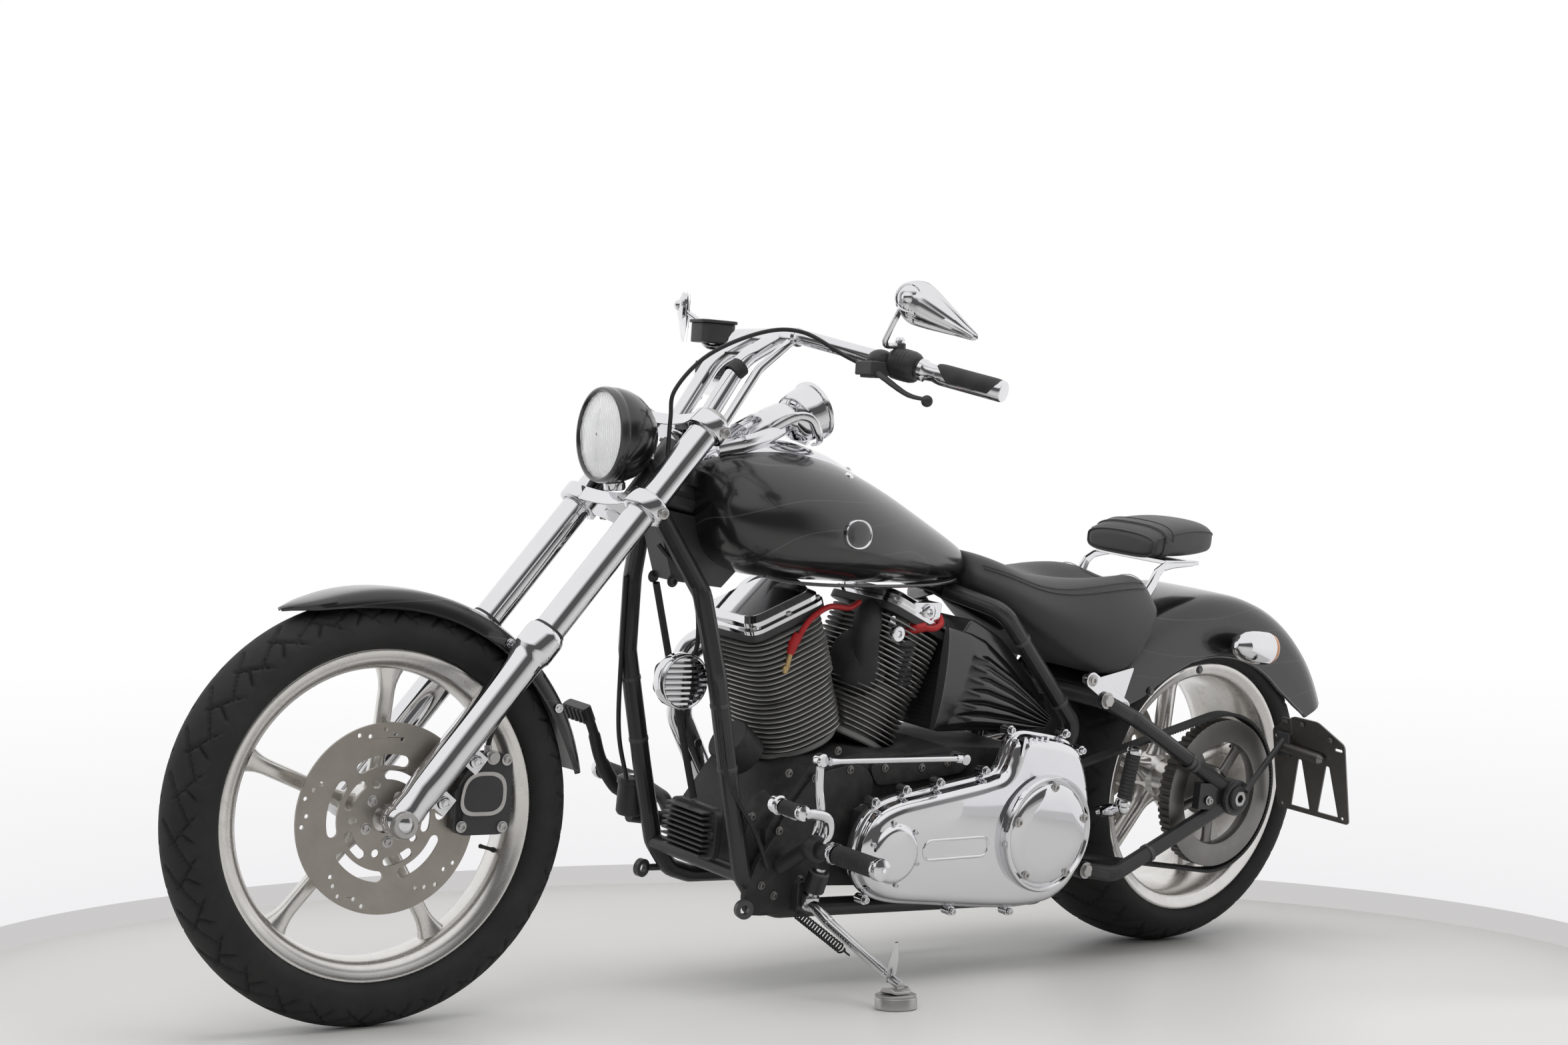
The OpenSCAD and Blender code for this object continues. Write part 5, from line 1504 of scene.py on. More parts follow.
def rear_fender():
    radius, half = 378, 131
    rings = []
    steps = 84
    for i in range(steps + 1):
        t = i / steps
        angle = radians(32 + 122 * t)
        skirt = eased([(0, 70), (0.08, 100), (0.22, 114), (0.8, 114), (0.92, 96), (1.0, 70)], t)
        outer = [(-half, radius - skirt), (-half, radius - skirt * 0.66), (-half, radius - 42),
                 (-half + 3, radius - 28), (-half + 11, radius - 14), (-half + 24, radius - 5),
                 (-half + 44, radius - 1), (-half + 80, radius - 0.3), (0, radius)]
        outer += [(-y, r) for y, r in outer[-2::-1]]
        inner = [(y * 0.972, r - 3.5) for y, r in outer[::-1]]
        rings.append([(REAR_AXLE.x + r * cos(angle), y, REAR_AXLE.z + r * sin(angle))
                      for y, r in outer + inner])
    Shape().rings(rings).make("rear_fender_sheet", "frame", "paint_black", PAINT,
                              stands=("rear_fender",), bevel=0.8, sharp=60)
    trim = Shape()
    for side in (1, -1):
        edge = []
        for i in range(61):
            t = 0.02 + 0.96 * i / 60
            a = radians(32 + 122 * t)
            skirt = eased([(0, 70), (0.08, 100), (0.22, 114), (0.8, 114), (0.92, 96), (1.0, 70)], t)
            edge.append((REAR_AXLE.x + (radius - skirt) * cos(a), side * (half - 1.6),
                         REAR_AXLE.z + (radius - skirt) * sin(a)))
        trim.tube(edge, 2.4, 8)
        for x, z in ((60, 560), (190, 520)):
            trim.hex_head((x, side * (half + 1), z), (x, side * (half - 8), z), 6.5, 5)
    trim.make("rear_fender_hem", "frame", "paint_black", GLOSS_BLACK)


def signals():
    shell, lens = Shape(), Shape()
    for side in (1, -1):
        place = aim((-92, side * 168, 606), (-14, side * 168, 612))
        shell.lathe([(30, 10), (32, 12), (32.4, 16), (32.4, 40), (31, 58), (27, 76), (19, 90), (9, 99),
                     (0, 101), (0, 96), (26, 70), (30, 14)], place, 56)
        lens.lathe([(0, -10), (14, -9), (24, -5), (29.5, 1), (31, 8), (31, 12), (0, 12)], place, 48)
        shell.tube(smooth_path([(-50, side * 128, 608), (-50, side * 140, 608),
                                (-50, side * 150, 608)], 4), [13] * 3 + [11.5] * 3 + [12.5] * 3, 28)
        shell.lathe([(11, -3), (17, -3), (17, 2), (12, 5), (11, 5)],
                    aim((-50, side * 134, 608), (-50, side * 150, 608)), 32, closed=True)
    shell.make("signal_shells", "frame", "chrome", CHROME, stands=("rear_signals",))
    lens.make("signal_lenses", "frame", "chrome", AMBER)


def plate_bracket():
    slope = at(-104, 0, 488) @ Matrix.Rotation(radians(15), 4, "Y")
    # flat frame of the plate: its X runs outward, its Y runs up
    flat = slope @ Matrix(((0, 0, 1, 0), (1, 0, 0, 0), (0, 1, 0, 0), (0, 0, 0, 1)))
    arch = rounded([(187, -34), (240, -1), (300, -1), (362, -36), (362, -196), (187, -196)], 8)
    windows = [[(247, -86), (255, -86), (268, -186), (222, -186)],
               [(314, -86), (322, -86), (337, -186), (287, -186)]]
    corners = []
    for x in (202, 347):
        for y, half in ((-48, 9), (-186, 3.2)):
            if half > 5:
                corners.append([(x - half, y - 3), (x + half, y - 3), (x + half, y + 3),
                                (x - half, y + 3)])
            else:
                corners.append(circle(half, 20, x, y))
    sheet = Shape().cut_sheet([arch] + [rounded(w, 3) for w in windows]
                              + [c if len(c) > 4 else rounded(c, 3) for c in corners], 0, 3, flat)
    sheet.make("plate_sheet", "frame", "frame_black", DARK_STEEL, stands=("plate_bracket",), bevel=0.6)
    rest = Shape()
    rest.tube(bent([(-12, 220, 339), (-60, 221, 392), (-108, 221, 440)], 40), 6, 18)
    rest.lathe([(12.6, 213), (24, 213), (24, 219), (22, 220), (12.6, 220)], AT_REAR, 40, closed=True)
    rest.plate([(-118, 405), (-106, 405), (-100, 452), (-112, 452)], 206, 236)
    rest.make("plate_arm", "frame", "frame_black", SATIN_BLACK, bevel=1.5)
    lamp = Shape().tube([flat @ Vector(p) for p in ((206, -62, 12), (212, -62, 13), (308, -70, 13),
                                                    (316, -71, 12))], [6, 10.5, 10.5, 5], 24)
    lamp.block((214, -40, 2), (236, -6, 6), flat).block((226, -64, 2), (236, -40, 8), flat)
    for x, y in ((222, -14), (262, -12), (330, -30)):
        lamp.bolt(flat @ Vector((x, y, 6)), flat @ Vector((x, y, -4)), 4, 3)
    lamp.make("plate_lamp", "frame", "frame_black", DARK_STEEL, bevel=1)


fuel_tank()
dash()
speedometer()
seat()
pillion_pad()
rear_fender()
signals()
plate_bracket()


# ---------- engine ----------

CRANK = Vector((893, 0, 292))
HALF_VEE = radians(22.5)


def up_cylinder(side):
    """Frame on a cylinder's axis: side is 1 for the front one."""
    return Matrix.Translation(CRANK) @ Matrix.Rotation(side * HALF_VEE, 4, "Y")


def fin_outline(place, half_x, half_y, square, side, height, count=64):
    """Fin ring at a height, cut flat where it meets the other cylinder's fins."""
    ring = []
    for c, s in superellipse(count, square):
        spot = place @ Vector((half_x * c, half_y * s, height))
        over = (CRANK.x + side * 5 - spot.x) * side
        if over > 0:
            spot += place.to_3x3() @ Vector((side, 0, 0)) * over
        ring.append(spot)
    return ring


def cylinders():
    for side, name in ((1, "front"), (-1, "rear")):
        place = up_cylinder(side)
        fins, rims = Shape(), Shape()
        fins.lathe([(0, 146), (70, 146), (70, 372), (0, 372)], place, 48)
        fins.lathe([(0, 144), (82, 144), (84, 147), (84, 155), (0, 155)], place, 48)
        for i in range(23):
            height = 162 + i * 9.1
            head = height > 262
            wide = 84 if head else 85.5
            square = 0.50 if head else 0.72
            low, high = height - 1.1, height + 1.1
            outer = [fin_outline(place, wide - 2, 86.5, square, side, h) for h in (low, high)]
            core = [fin_outline(place, 60, 60, 1, side, h) for h in (low, high)]
            fins.rings([core[0], outer[0], outer[1], core[1]], closed=True)
            edge = [fin_outline(place, wide - 2.2 + d, 86.3 + d, square, side, h)
                    for d, h in ((0, low - 0.1), (1.5, low), (2.1, height), (1.5, high),
                                 (0, high + 0.1))]
            if height < 318:
                rims.rings(edge, closed=True)
        fins.make(name + "_cylinder_fins", "frame", "engine_black", FINS,
                  stands=(name + "_cylinder",), sharp=30)
        rims.make(name + "_fin_edges", "frame", "engine_black", BRIGHT_RIM, sharp=60)
    black, bright, studs = Shape(), Shape(), Shape()
    for side in (1, -1):
        place = up_cylinder(side)
        box = rounded([(-82, -86), (82, -86), (82, 86), (-82, 86)], 26, 6)
        black.plate(box, 371, 384, place)
        inner = rounded([(-76, -80), (76, -80), (76, 80), (-76, 80)], 26, 6)
        top = rounded([(-66, -70), (66, -70), (66, 70), (-66, 70)], 24, 6)
        rings = [[(x, y, z) for x, y in line] for line, z in
                 ((box, 384), (box, 391), (inner, 394), (inner, 402), (top, 411), (top, 412))]
        bright.rings(rings, place)
        for x, y in ((-70, -72), (70, -72), (-70, 72), (70, 72), (0, 79), (0, -79)):
            spot = place @ Vector((x, y, 391))
            studs.bolt(spot, place @ Vector((x, y, 380)), 5.5, 6)
    black.make("rocker_bases", "frame", "engine_black", SATIN_BLACK, bevel=1.5)
    bright.make("rocker_covers", "frame", "chrome", CHROME, stands=("rocker_boxes",), bevel=1.5)
    studs.make("rocker_screws", "frame", "steel", STEEL)


def between_cylinders():
    """Intake, bellows, coil box, key switch, plug leads and push rods."""
    boot = Shape()
    rows = []
    for i in range(9):
        z = 530 + i * 8.6
        rows += [(30, z), (34, z + 2), (34.5, z + 4.5), (31, z + 6.5)]
    boot.lathe([(0, 524), (26, 525), (30, 530)] + rows + [(28, 610), (0, 612)],
               at(774, 58, 0), 48)
    boot.tube(smooth_path([(800, 20, 640), (830, 40, 650), (850, 62, 620), (846, 62, 560)]),
              [26] * 8 + [25] * 8 + [23] * 9, 24)
    boot.ball((842, 30, 560), (40, 56, 62))
    boot.make("intake_boot", "frame", "rubber", RUBBER, sharp=25)
    box = Shape()
    box.plate(rounded([(697, 640), (764, 646), (762, 676), (694, 676)], 6), 40, 78)
    box.plate(rounded([(708, 626), (764, 630), (760, 646), (700, 642)], 5), 34, 72)
    box.lathe([(0, 78), (15, 78), (15, 82), (12, 84), (6, 84), (6, 80), (0, 80)],
              at(727, 0, 659) @ TURNED, 32)
    box.make("coil_box", "frame", "chrome", CHROME, bevel=2)
    lock = Shape().lathe([(0, 60), (15, 60), (15, 88), (13, 91), (6, 91), (5, 88), (0, 88)],
                         at(800, 0, 622) @ TURNED, 32)
    lock.plate(rounded([(789, 620), (811, 620), (804, 652), (794, 652)], 4), 62, 70)
    lock.make("key_switch", "frame", "chrome", CHROME, bevel=1)
    leads = Shape()
    leads.tube(smooth_path([(866, 52, 672), (900, 66, 664), (960, 84, 668), (1006, 94, 648),
                            (1026, 92, 618), (1036, 88, 596)]), 5, 16)
    leads.tube([(1026, 91, 622), (1034, 89, 606), (1038, 88, 588)], [8, 9, 6.5], 20)
    leads.tube(smooth_path([(762, 60, 640), (744, 84, 634), (722, 92, 632), (700, 86, 640),
                            (690, 70, 650)]), 5.5, 16)
    leads.tube([(766, 66, 622), (752, 82, 632), (738, 88, 634)], [7, 9.5, 8], 20)
    leads.make("spark_plug_leads", "frame", "rubber", RED_WIRE)
    plugs = Shape().tube([(1038, 88, 590), (1040, 86, 572), (1042, 82, 556)], [5, 5.5, 6], 16)
    plugs.lathe([(0, 0), (9, 0), (9, 6), (0, 6)], aim((1042, 82, 562), (1039, 86, 578)), 6)
    plugs.make("spark_plugs", "frame", "steel", BRASS)
    rods = Shape()
    for side, lean in ((1, 12), (1, 26), (-1, 12), (-1, 26)):
        place = up_cylinder(side)
        foot = place @ Vector((side * -20, -100, 118))
        head = place @ Vector((side * (lean - 24), -92, 372))
        rods.rod(foot, head, 8)
        rods.rod(foot, foot.lerp(head, 0.12), 12).rod(foot.lerp(head, 0.55), foot.lerp(head, 0.6), 10)
    rods.make("push_rod_tubes", "frame", "chrome", CHROME)


def engine_case():
    """Ribs, covers, joints and screws on the case."""
    black, bolts = Shape(), Shape()
    for y in (-1, 1):
        low, high = (134, 141) if y > 0 else (-111, -105)
        black.plate(rounded([(1062, 216), (1074, 300), (1000, 392), (906, 410), (862, 380),
                             (884, 300), (930, 236), (1000, 206)], 26, 6), low, high)
        black.plate(rounded([(760, 372), (860, 366), (880, 404), (800, 414), (700, 418), (640, 404),
                             (660, 382)], 16, 5), low, high - 1)
    black.plate(rounded([(1100, 196), (1128, 214), (1118, 330), (1092, 372), (1060, 340),
                         (1050, 212)], 16, 5), 108, 122)
    # lower plate between the down tube and the case, with its rounded cut-out
    low_plate = [(1118, 160), (1126, 196), (1104, 250), (1060, 306), (1040, 300), (1048, 268)]
    low_plate += [(1030, 262), (996, 252), (972, 226), (968, 176), (1000, 160), (1080, 156)]
    black.plate(rounded(low_plate, 14, 5), 128, 142)
    for x, z, y in ((1058, 397, 141), (950, 430, 134), (845, 398, 140), (1093, 209, 142),
                    (1112, 322, 122), (1064, 190, 142), (986, 200, 142), (700, 402, 140),
                    (760, 396, 140), (1052, 240, 142), (1066, 300, 141), (924, 398, 141),
                    (1000, 386, 141), (890, 330, 141), (906, 262, 141), (1010, 214, 141)):
        bolts.bolt((x, y + 1, z), (x, y - 8, z), 5, 4)
    for x in range(500, 1060, 56):
        bolts.bolt((x, -106, 205 + 12 * sin(x)), (x, -98, 205 + 12 * sin(x)), 5, 4)
    for x, z in ((1058, 397), (845, 398), (700, 402), (1066, 300), (924, 398), (906, 262)):
        bolts.bolt((x, -112, z), (x, -102, z), 5, 5)
    # ribbed sump and gear housing
    for i in range(9):
        x = 500 + i * 18
        black.plate([(x, 206), (x + 7, 206), (x + 7, 400), (x, 400)], -110, -104)
    black.lathe([(0, -128), (46, -128), (54, -122), (56, -104), (0, -104)], at(560, 0, 300) @ TURNED,
                56)
    black.lathe([(0, -150), (52, -150), (62, -144), (66, -130), (66, -104), (0, -104)],
                at(920, 0, 312) @ TURNED, 64)
    black.lathe([(0, 92), (38, 92), (40, 88), (40, 40), (0, 40)],
                aim((1060, 30, 396), (1112, 30, 440)) @ at(0, 0, -30), 40)
    black.make("case_covers_and_ribs", "frame", "engine_black", ENGINE_BLACK, bevel=2)
    bolts.make("case_screws", "frame", "steel", DARK_STEEL)


def cam_cover():
    shape = Shape().lathe([(0, -158), (34, -158), (44, -154), (48, -148), (48, -146), (0, -146)],
                          at(920, 0, 312) @ TURNED, 64)
    shape.make("cam_cover", "frame", "chrome", CHROME)


PRIMARY = [(941, 262), (932, 304), (908, 338), (868, 356), (800, 367), (730, 377), (664, 387),
           (626, 397), (612, 420), (601, 450), (576, 465), (530, 461), (470, 450), (436, 434),
           (414, 400), (397, 350), (390, 290), (398, 226), (426, 178), (470, 152), (520, 145),
           (580, 146), (660, 153), (760, 164), (846, 174), (896, 190), (928, 220)]


def closed_curve(points, steps=6):
    points = [Vector((x, y, 0)) for x, y in points]
    count = len(points)
    line = smooth_path(points[-2:] + points + points[:2], steps)
    return line[steps * 2:steps * (2 + count)]


def inset(line, depth):
    """Closed curve moved inwards; the line runs clockwise or not."""
    area = sum(a.x * b.y - b.x * a.y for a, b in zip(line, line[1:] + line[:1]))
    turn = 1 if area > 0 else -1
    moved = []
    for i, p in enumerate(line):
        way = (line[(i + 1) % len(line)] - line[i - 1]).normalized()
        moved.append(p + Vector((-way.y, way.x, 0)) * depth * turn)
    return moved


def primary():
    line = closed_curve(PRIMARY)
    body = Shape()
    levels = [(0, 172), (0, 184), (1.5, 186), (5, 187), (6, 188), (6.5, 196), (8, 202), (11, 207),
              (16, 211), (22, 213), (26, 213.6)]
    body.rings([[Vector((p.x, p.y, y)) for p in inset(line, depth)] for depth, y in levels], SIDE)
    body.lathe([(0, 222), (40, 222), (46, 221), (49, 217), (52, 213.6), (62, 212), (70, 206),
                (0, 206)], at(868, 0, 266) @ TURNED, 64)
    body.lathe([(0, 214), (104, 214), (112, 213), (118, 210), (123, 203), (125, 190), (0, 190)],
               at(518, 0, 285) @ TURNED, 96)
    # raised lip round the oval recess
    lip = Shape()
    path = [(x, 213, z) for x, z in arc(17, 90, 270, 14, 668, 268) + arc(17, -90, 90, 14, 786, 268)]
    lip.tube(path + path[:1], 2.6, 10)
    lip.make("primary_oval_lip", "frame", "chrome", CHROME)
    # cooling fins in the hump's upper corner
    for i in range(5):
        x = 588 - i * 15
        body.plate([(x, 424), (x + 6, 426), (x + 2, 458), (x - 4, 457)], 200, 213.5 - i)
    body.make("primary_case", "frame", "chrome", CHROME, stands=("primary_cover",), sharp=45)
    bolts = Shape()
    for t in range(0, 360, 60):
        a = radians(t + 20)
        bolts.bolt((868 + 55 * cos(a), 215, 266 + 55 * sin(a)),
                   (868 + 55 * cos(a), 205, 266 + 55 * sin(a)), 4.5, 4, False)
    for x, z in ((904, 352), (836, 370), (760, 380), (655, 397), (604, 468), (466, 458), (420, 426),
                 (905, 184), (700, 150), (560, 140)):
        bolts.rod((x, 172, z), (x, 192, z), 8.5)
        bolts.bolt((x, 193, z), (x, 180, z), 6, 6, False)
    bolts.make("primary_bolts", "frame", "chrome", CHROME, bevel=0.8)
    cover = Shape().lathe([(0, 236), (60, 235), (84, 232), (90, 229), (92, 226), (95, 226), (98, 230),
                           (102, 230), (105, 226), (105.5, 214), (0, 214)],
                          at(518, 0, 285) @ TURNED, 128)
    cover.make("derby_cover_disc", "frame", "chrome", CHROME, stands=("derby_cover",), sharp=40)
    screws = Shape()
    for i in range(5):
        a = radians(90 + 72 * i)
        x, z = 518 + 86 * cos(a), 285 + 86 * sin(a)
        screws.bolt((x, 232, z), (x, 224, z), 6, 5)
    screws.make("derby_screws", "frame", "steel", STEEL)


def exhausts():
    pipes, cans = Shape(), Shape()
    pipes.tube(bent([(1010, -86, 600), (1080, -150, 566), (1046, -190, 430), (964, -205, 310),
                     (862, -214, 252), (500, -239, 236)], 70, 8), 23, 32)
    pipes.tube(bent([(760, -86, 602), (722, -150, 566), (700, -200, 480), (640, -240, 380),
                     (500, -258, 346)], 70, 8), 23, 32)
    pipes.make("exhaust_headers", "frame", "chrome", CHROME, stands=("exhaust_pipes",))
    for start, end in (((520, -239, 236), (-60, -270, 262)), ((520, -258, 345), (60, -290, 372))):
        place = aim(start, end)
        length = (Vector(end) - Vector(start)).length
        cans.lathe([(24, 0), (26, 2), (38, 22), (42, 34), (43.5, 44), (43.5, length - 10),
                    (41, length - 2), (37, length), (33, length - 2), (30, length - 30),
                    (24, length - 30), (24, 20)], place, 64, closed=True)
        for spot in (60, length - 60):
            cans.lathe([(42, spot - 6), (44.6, spot - 5), (44.6, spot + 5), (42, spot + 6)], place,
                       64, closed=True)
    cans.make("exhaust_mufflers", "frame", "chrome", CHROME)
    holders = Shape()
    for x, z in ((300, 246), (300, 360)):
        holders.block((x - 16, -210, z - 10), (x + 16, -150, z + 10))
    holders.block((280, -160, 236), (320, -150, 372))
    holders.make("muffler_brackets", "frame", "frame_black", SATIN_BLACK, bevel=3)


def air_cleaner():
    place = at(893, 0, 600) @ TURNED
    shell = Shape().lathe([(0, -197), (30, -196.5), (34, -194), (60, -193), (66, -190), (84, -184),
                           (91, -176), (92, -166), (92, -160), (88, -156), (84, -152), (0, -152)],
                          place, 96)
    shell.lathe([(0, -152), (30, -150), (30, -92), (0, -92)], place, 48)
    shell.make("air_cleaner_shell", "frame", "chrome", CHROME, stands=("air_cleaner",))
    mesh = Shape()
    for i in range(60):
        a = 2 * pi * i / 60
        mesh.rod(place @ Vector((89 * cos(a), 89 * sin(a), -150)),
                 place @ Vector((89 * cos(a), 89 * sin(a), -132)), 1.6, 6)
    mesh.lathe([(84, -150), (92, -150), (92, -130), (84, -130)], place, 64, closed=True)
    mesh.bolt(place @ Vector((0, 0, -198)), place @ Vector((0, 0, -190)), 8, 6)
    mesh.make("air_cleaner_filter", "frame", "rubber", RUBBER)


def oil_tank_cover():
    """Side cover with flutes that fan out to the rear; both sides."""
    top = [(694, 636), (640, 626), (600, 612), (540, 572), (480, 524), (430, 480)]
    low = [(706, 452), (650, 450), (590, 449), (530, 448), (480, 448), (440, 450)]
    columns, rows = 60, 90
    for side in (1, -1):
        grid = []
        for i in range(columns + 1):
            t = i / columns
            k = t * 5
            j = min(4, int(k))
            f = k - j
            a = Vector(top[j]).lerp(Vector(top[j + 1]), f)
            b = Vector(low[j]).lerp(Vector(low[j + 1]), f)
            line = []
            for r in range(rows + 1):
                v = r / rows
                spot = a.lerp(b, v)
                # flutes start part of the way back and fade out at both edges
                start = min(1.0, max(0.0, (t - 0.26 + 0.16 * v) / 0.16))
                band = min(1.0, max(0.0, (v - 0.16) / 0.06)) * min(1.0, max(0.0, (0.97 - v) / 0.05))
                flute = abs(sin(pi * (v - 0.16) / 0.81 * 6)) ** 0.6
                bulge = 12 * sin(pi * min(1, max(0, v))) ** 0.6
                line.append((spot.x, side * (100 + bulge + 7 * flute * start * band), spot.y))
            grid.append(line)
        verts = [p for line in grid for p in line]
        n = rows + 1
        faces = [[i * n + r, i * n + r + 1, (i + 1) * n + r + 1, (i + 1) * n + r]
                 for i in range(columns) for r in range(rows)]
        back = len(verts)
        verts += [(x, side * 92, z) for x, y, z in verts]
        faces += [[back + q for q in face[::-1]] for face in faces]
        edge = ([i * n for i in range(columns + 1)] + [columns * n + r for r in range(1, n)]
                + [i * n + rows for i in range(columns - 1, -1, -1)]
                + [r for r in range(rows - 1, 0, -1)])
        faces += [[a, b, back + b, back + a] for a, b in zip(edge, edge[1:] + edge[:1])]
        shape = Shape().add(verts, faces)
        shape.make("side_cover_" + ("left" if side > 0 else "right"), "frame", "gloss_black",
                   GLOSS_BLACK, sharp=60)
    tank = Shape().plate(rounded([(636, 652), (560, 618), (470, 545), (420, 486), (436, 448),
                                  (700, 448), (672, 600)], 16, 5), -96, 96)
    tank.make("oil_tank_shell", "frame", "gloss_black", GLOSS_BLACK, stands=("oil_tank_cover",),
              bevel=4)


def horn_and_regulator():
    place = at(1262, 0, 546) @ TURNED
    shell = Shape().lathe([(0, 66), (30, 66), (42, 72), (46, 80), (46, 90), (43, 94), (0, 94)],
                          place, 64)
    shell.lathe([(41, 92), (46, 92), (46, 102), (44, 105), (41, 103)], place, 64, closed=True)
    for i in range(9):
        z = -36 + i * 9
        reach = sqrt(max(0, 43 ** 2 - z * z))
        crown = 106.5 - 6 * (z / 43) ** 2
        shell.plate(rounded([(-reach, z - 2.6), (reach, z - 2.6), (reach, z + 2.6), (-reach, z + 2.6)],
                            2), 94, crown, at(1262, 0, 546) @ SIDE)
    shell.make("horn_ribs", "frame", "chrome", CHROME, stands=("horn",), bevel=1)
    black = Shape().plate(rounded([(1228, 520), (1296, 520), (1296, 572), (1228, 572)], 14), 60, 67)
    black.block((1218, 56, 532), (1236, 66, 562))
    black.make("horn_bracket", "frame", "frame_black", SATIN_BLACK, bevel=2)
    unit = Shape()
    face = rounded([(-66, 0), (66, 0), (66, 88), (-66, 88)], 22, 6)
    front = Matrix(((0, 0, 1, 1142), (1, 0, 0, 20), (0, 1, 0, 238), (0, 0, 0, 1)))
    unit.plate(face, 0, 14, front)
    for i in range(9):
        z = 8 + i * 9
        reach = 58 if 1 < i < 7 else 52
        unit.plate([(-reach, z - 1.8), (reach, z - 1.8), (reach, z + 1.8), (-reach, z + 1.8)], 12, 34,
                   front)
    for x in (-58, 58):
        unit.lathe([(0, 10), (7, 10), (7, 20), (0, 20)], front @ at(x, 44, 0), 20)
    unit.make("regulator_fins", "frame", "engine_black", SATIN_BLACK, stands=("regulator",), bevel=1)


cylinders()
between_cylinders()
engine_case()
cam_cover()
primary()
exhausts()
air_cleaner()
oil_tank_cover()
horn_and_regulator()


# ---------- foot controls ----------


def rubber_barrel(rubber, metal, start, end, radius, dome=True):
    """Peg: a ribbed rubber sleeve between chrome rings, with a domed end."""
    place = aim(start, end)
    length = (Vector(end) - Vector(start)).length
    rows = [(radius * 0.8, radius)]
    count = max(4, int((length - 2 * radius) / 7))
    step = (length - 2.2 * radius) / count
    for i in range(count):
        a = radius + step * i
        rows += [(radius * 0.92, a), (radius, a + 1.2), (radius, a + step - 1.6),
                 (radius * 0.92, a + step - 0.5)]
    rubber.lathe(rows + [(radius * 0.8, length - radius)], place, 36)
    for a in (0, length - radius * 1.1):
        metal.lathe([(0, a), (radius * 1.02, a), (radius * 1.08, a + 2), (radius * 1.08, a + radius * 0.6),
                     (radius * 1.0, a + radius * 0.8), (0, a + radius * 0.8)], place, 40)
    if dome:
        metal.lathe([(radius * 1.08, length - radius * 0.6), (radius, length - radius * 0.25),
                     (radius * 0.7, length - 2), (radius * 0.3, length), (0, length),
                     (0, length - radius * 0.6)], place, 40)


def left_controls():
    rubber, metal, black = Shape(), Shape(), Shape()
    rubber_barrel(rubber, metal, (1056, 268, 292), (1060, 402, 294), 17)
    black.tube(bent([(1060, 146, 240), (1054, 200, 280), (1056, 266, 292)], 30), 13, 28)
    black.lathe([(0, -14), (20, -14), (22, -10), (22, 10), (20, 14), (0, 14)],
                at(1055, 226, 289) @ TURNED, 40)
    arm = [(1054, 232, 296), (1040, 236, 316), (1050, 240, 342), (1086, 246, 352), (1120, 250, 352),
           (1150, 256, 362), (1176, 262, 376)]
    metal.tube(smooth_path(arm), [11, 11, 10.5, 10] + [9.5] * 41 + [10, 10, 11, 11], 20, flat=0.7)
    metal.lathe([(0, -6), (15, -6), (16, -3), (16, 6), (13, 9), (7, 9), (6, 6), (0, 6)],
                at(1176, 262, 376) @ TURNED, 36)
    rubber_barrel(rubber, metal, (1176, 266, 376), (1176, 334, 376), 12)
    lever = [(1052, 214, 296), (1050, 222, 330), (1052, 225, 352), (1060, 226, 384), (1063, 226, 412),
             (1064, 226, 436)]
    metal.tube(smooth_path(lever), [9] * 8 + [7] * 8 + [8.5] * 8 + [8] * 8 + [8] * 9, 18, flat=0.6)
    metal.lathe([(0, -8), (11, -8), (12, -5), (12, 6), (9, 9), (0, 9)], at(1064, 226, 436) @ TURNED, 32)
    metal.tube([(1054, 238, 436), (1034, 238, 436), (770, 228, 430), (752, 226, 429)],
               [7, 4.6, 4.6, 7], 20)
    metal.tube([(764, 227, 430), (742, 226, 428)], 7.5, 20)
    metal.lathe([(0, -28), (8, -28), (9, -22), (9, 8), (0, 8)], at(744, 226, 428) @ TURNED, 28)
    metal.make("left_shift_linkage", "frame", "chrome", CHROME, stands=("left_foot_control",))
    rubber.make("left_peg_rubbers", "frame", "rubber", RUBBER)
    black.make("left_peg_mount", "frame", "frame_black", SATIN_BLACK, bevel=1)


def right_controls():
    rubber, metal, black = Shape(), Shape(), Shape()
    rubber_barrel(rubber, metal, (1056, -268, 292), (1060, -402, 294), 17)
    black.tube(bent([(1060, -146, 240), (1054, -200, 280), (1056, -266, 292)], 30), 13, 28)
    pedal = [(1052, -232, 292), (1080, -240, 276), (1124, -246, 292), (1160, -252, 340),
             (1178, -258, 390), (1190, -264, 420)]
    black.tube(smooth_path(pedal), [12] * 8 + [12] * 8 + [13] * 8 + [11] * 8 + [9] * 9, 20, flat=0.6)
    place = at(1190, -292, 424) @ Matrix.Rotation(radians(28), 4, "Y")
    black.plate(rounded([(-9, -34), (9, -34), (9, 34), (-9, 34)], 6), -18, 12, place)
    for i in range(5):
        rubber.block((9, -30 + i * 13, -16), (13, -22 + i * 13, 10), place)
    rubber.block((6, -33, -17), (10, 33, 11), place)
    # rear brake's master cylinder beside the pedal
    black.lathe([(0, 0), (20, 0), (24, 6), (24, 54), (27, 56), (27, 66), (20, 70), (0, 70)],
                at(1150, -168, 262), 40)
    black.rod((1150, -168, 262), (1066, -168, 250), 13)
    metal.lathe([(0, 0), (6, 0), (6, 3), (0, 3)], at(1156, -160, 332), 6)
    black.make("right_pedal", "frame", "frame_black", SATIN_BLACK, stands=("right_foot_control",),
               bevel=1)
    rubber.make("right_peg_rubbers", "frame", "rubber", RUBBER, bevel=1)
    metal.make("right_peg_rings", "frame", "chrome", CHROME)


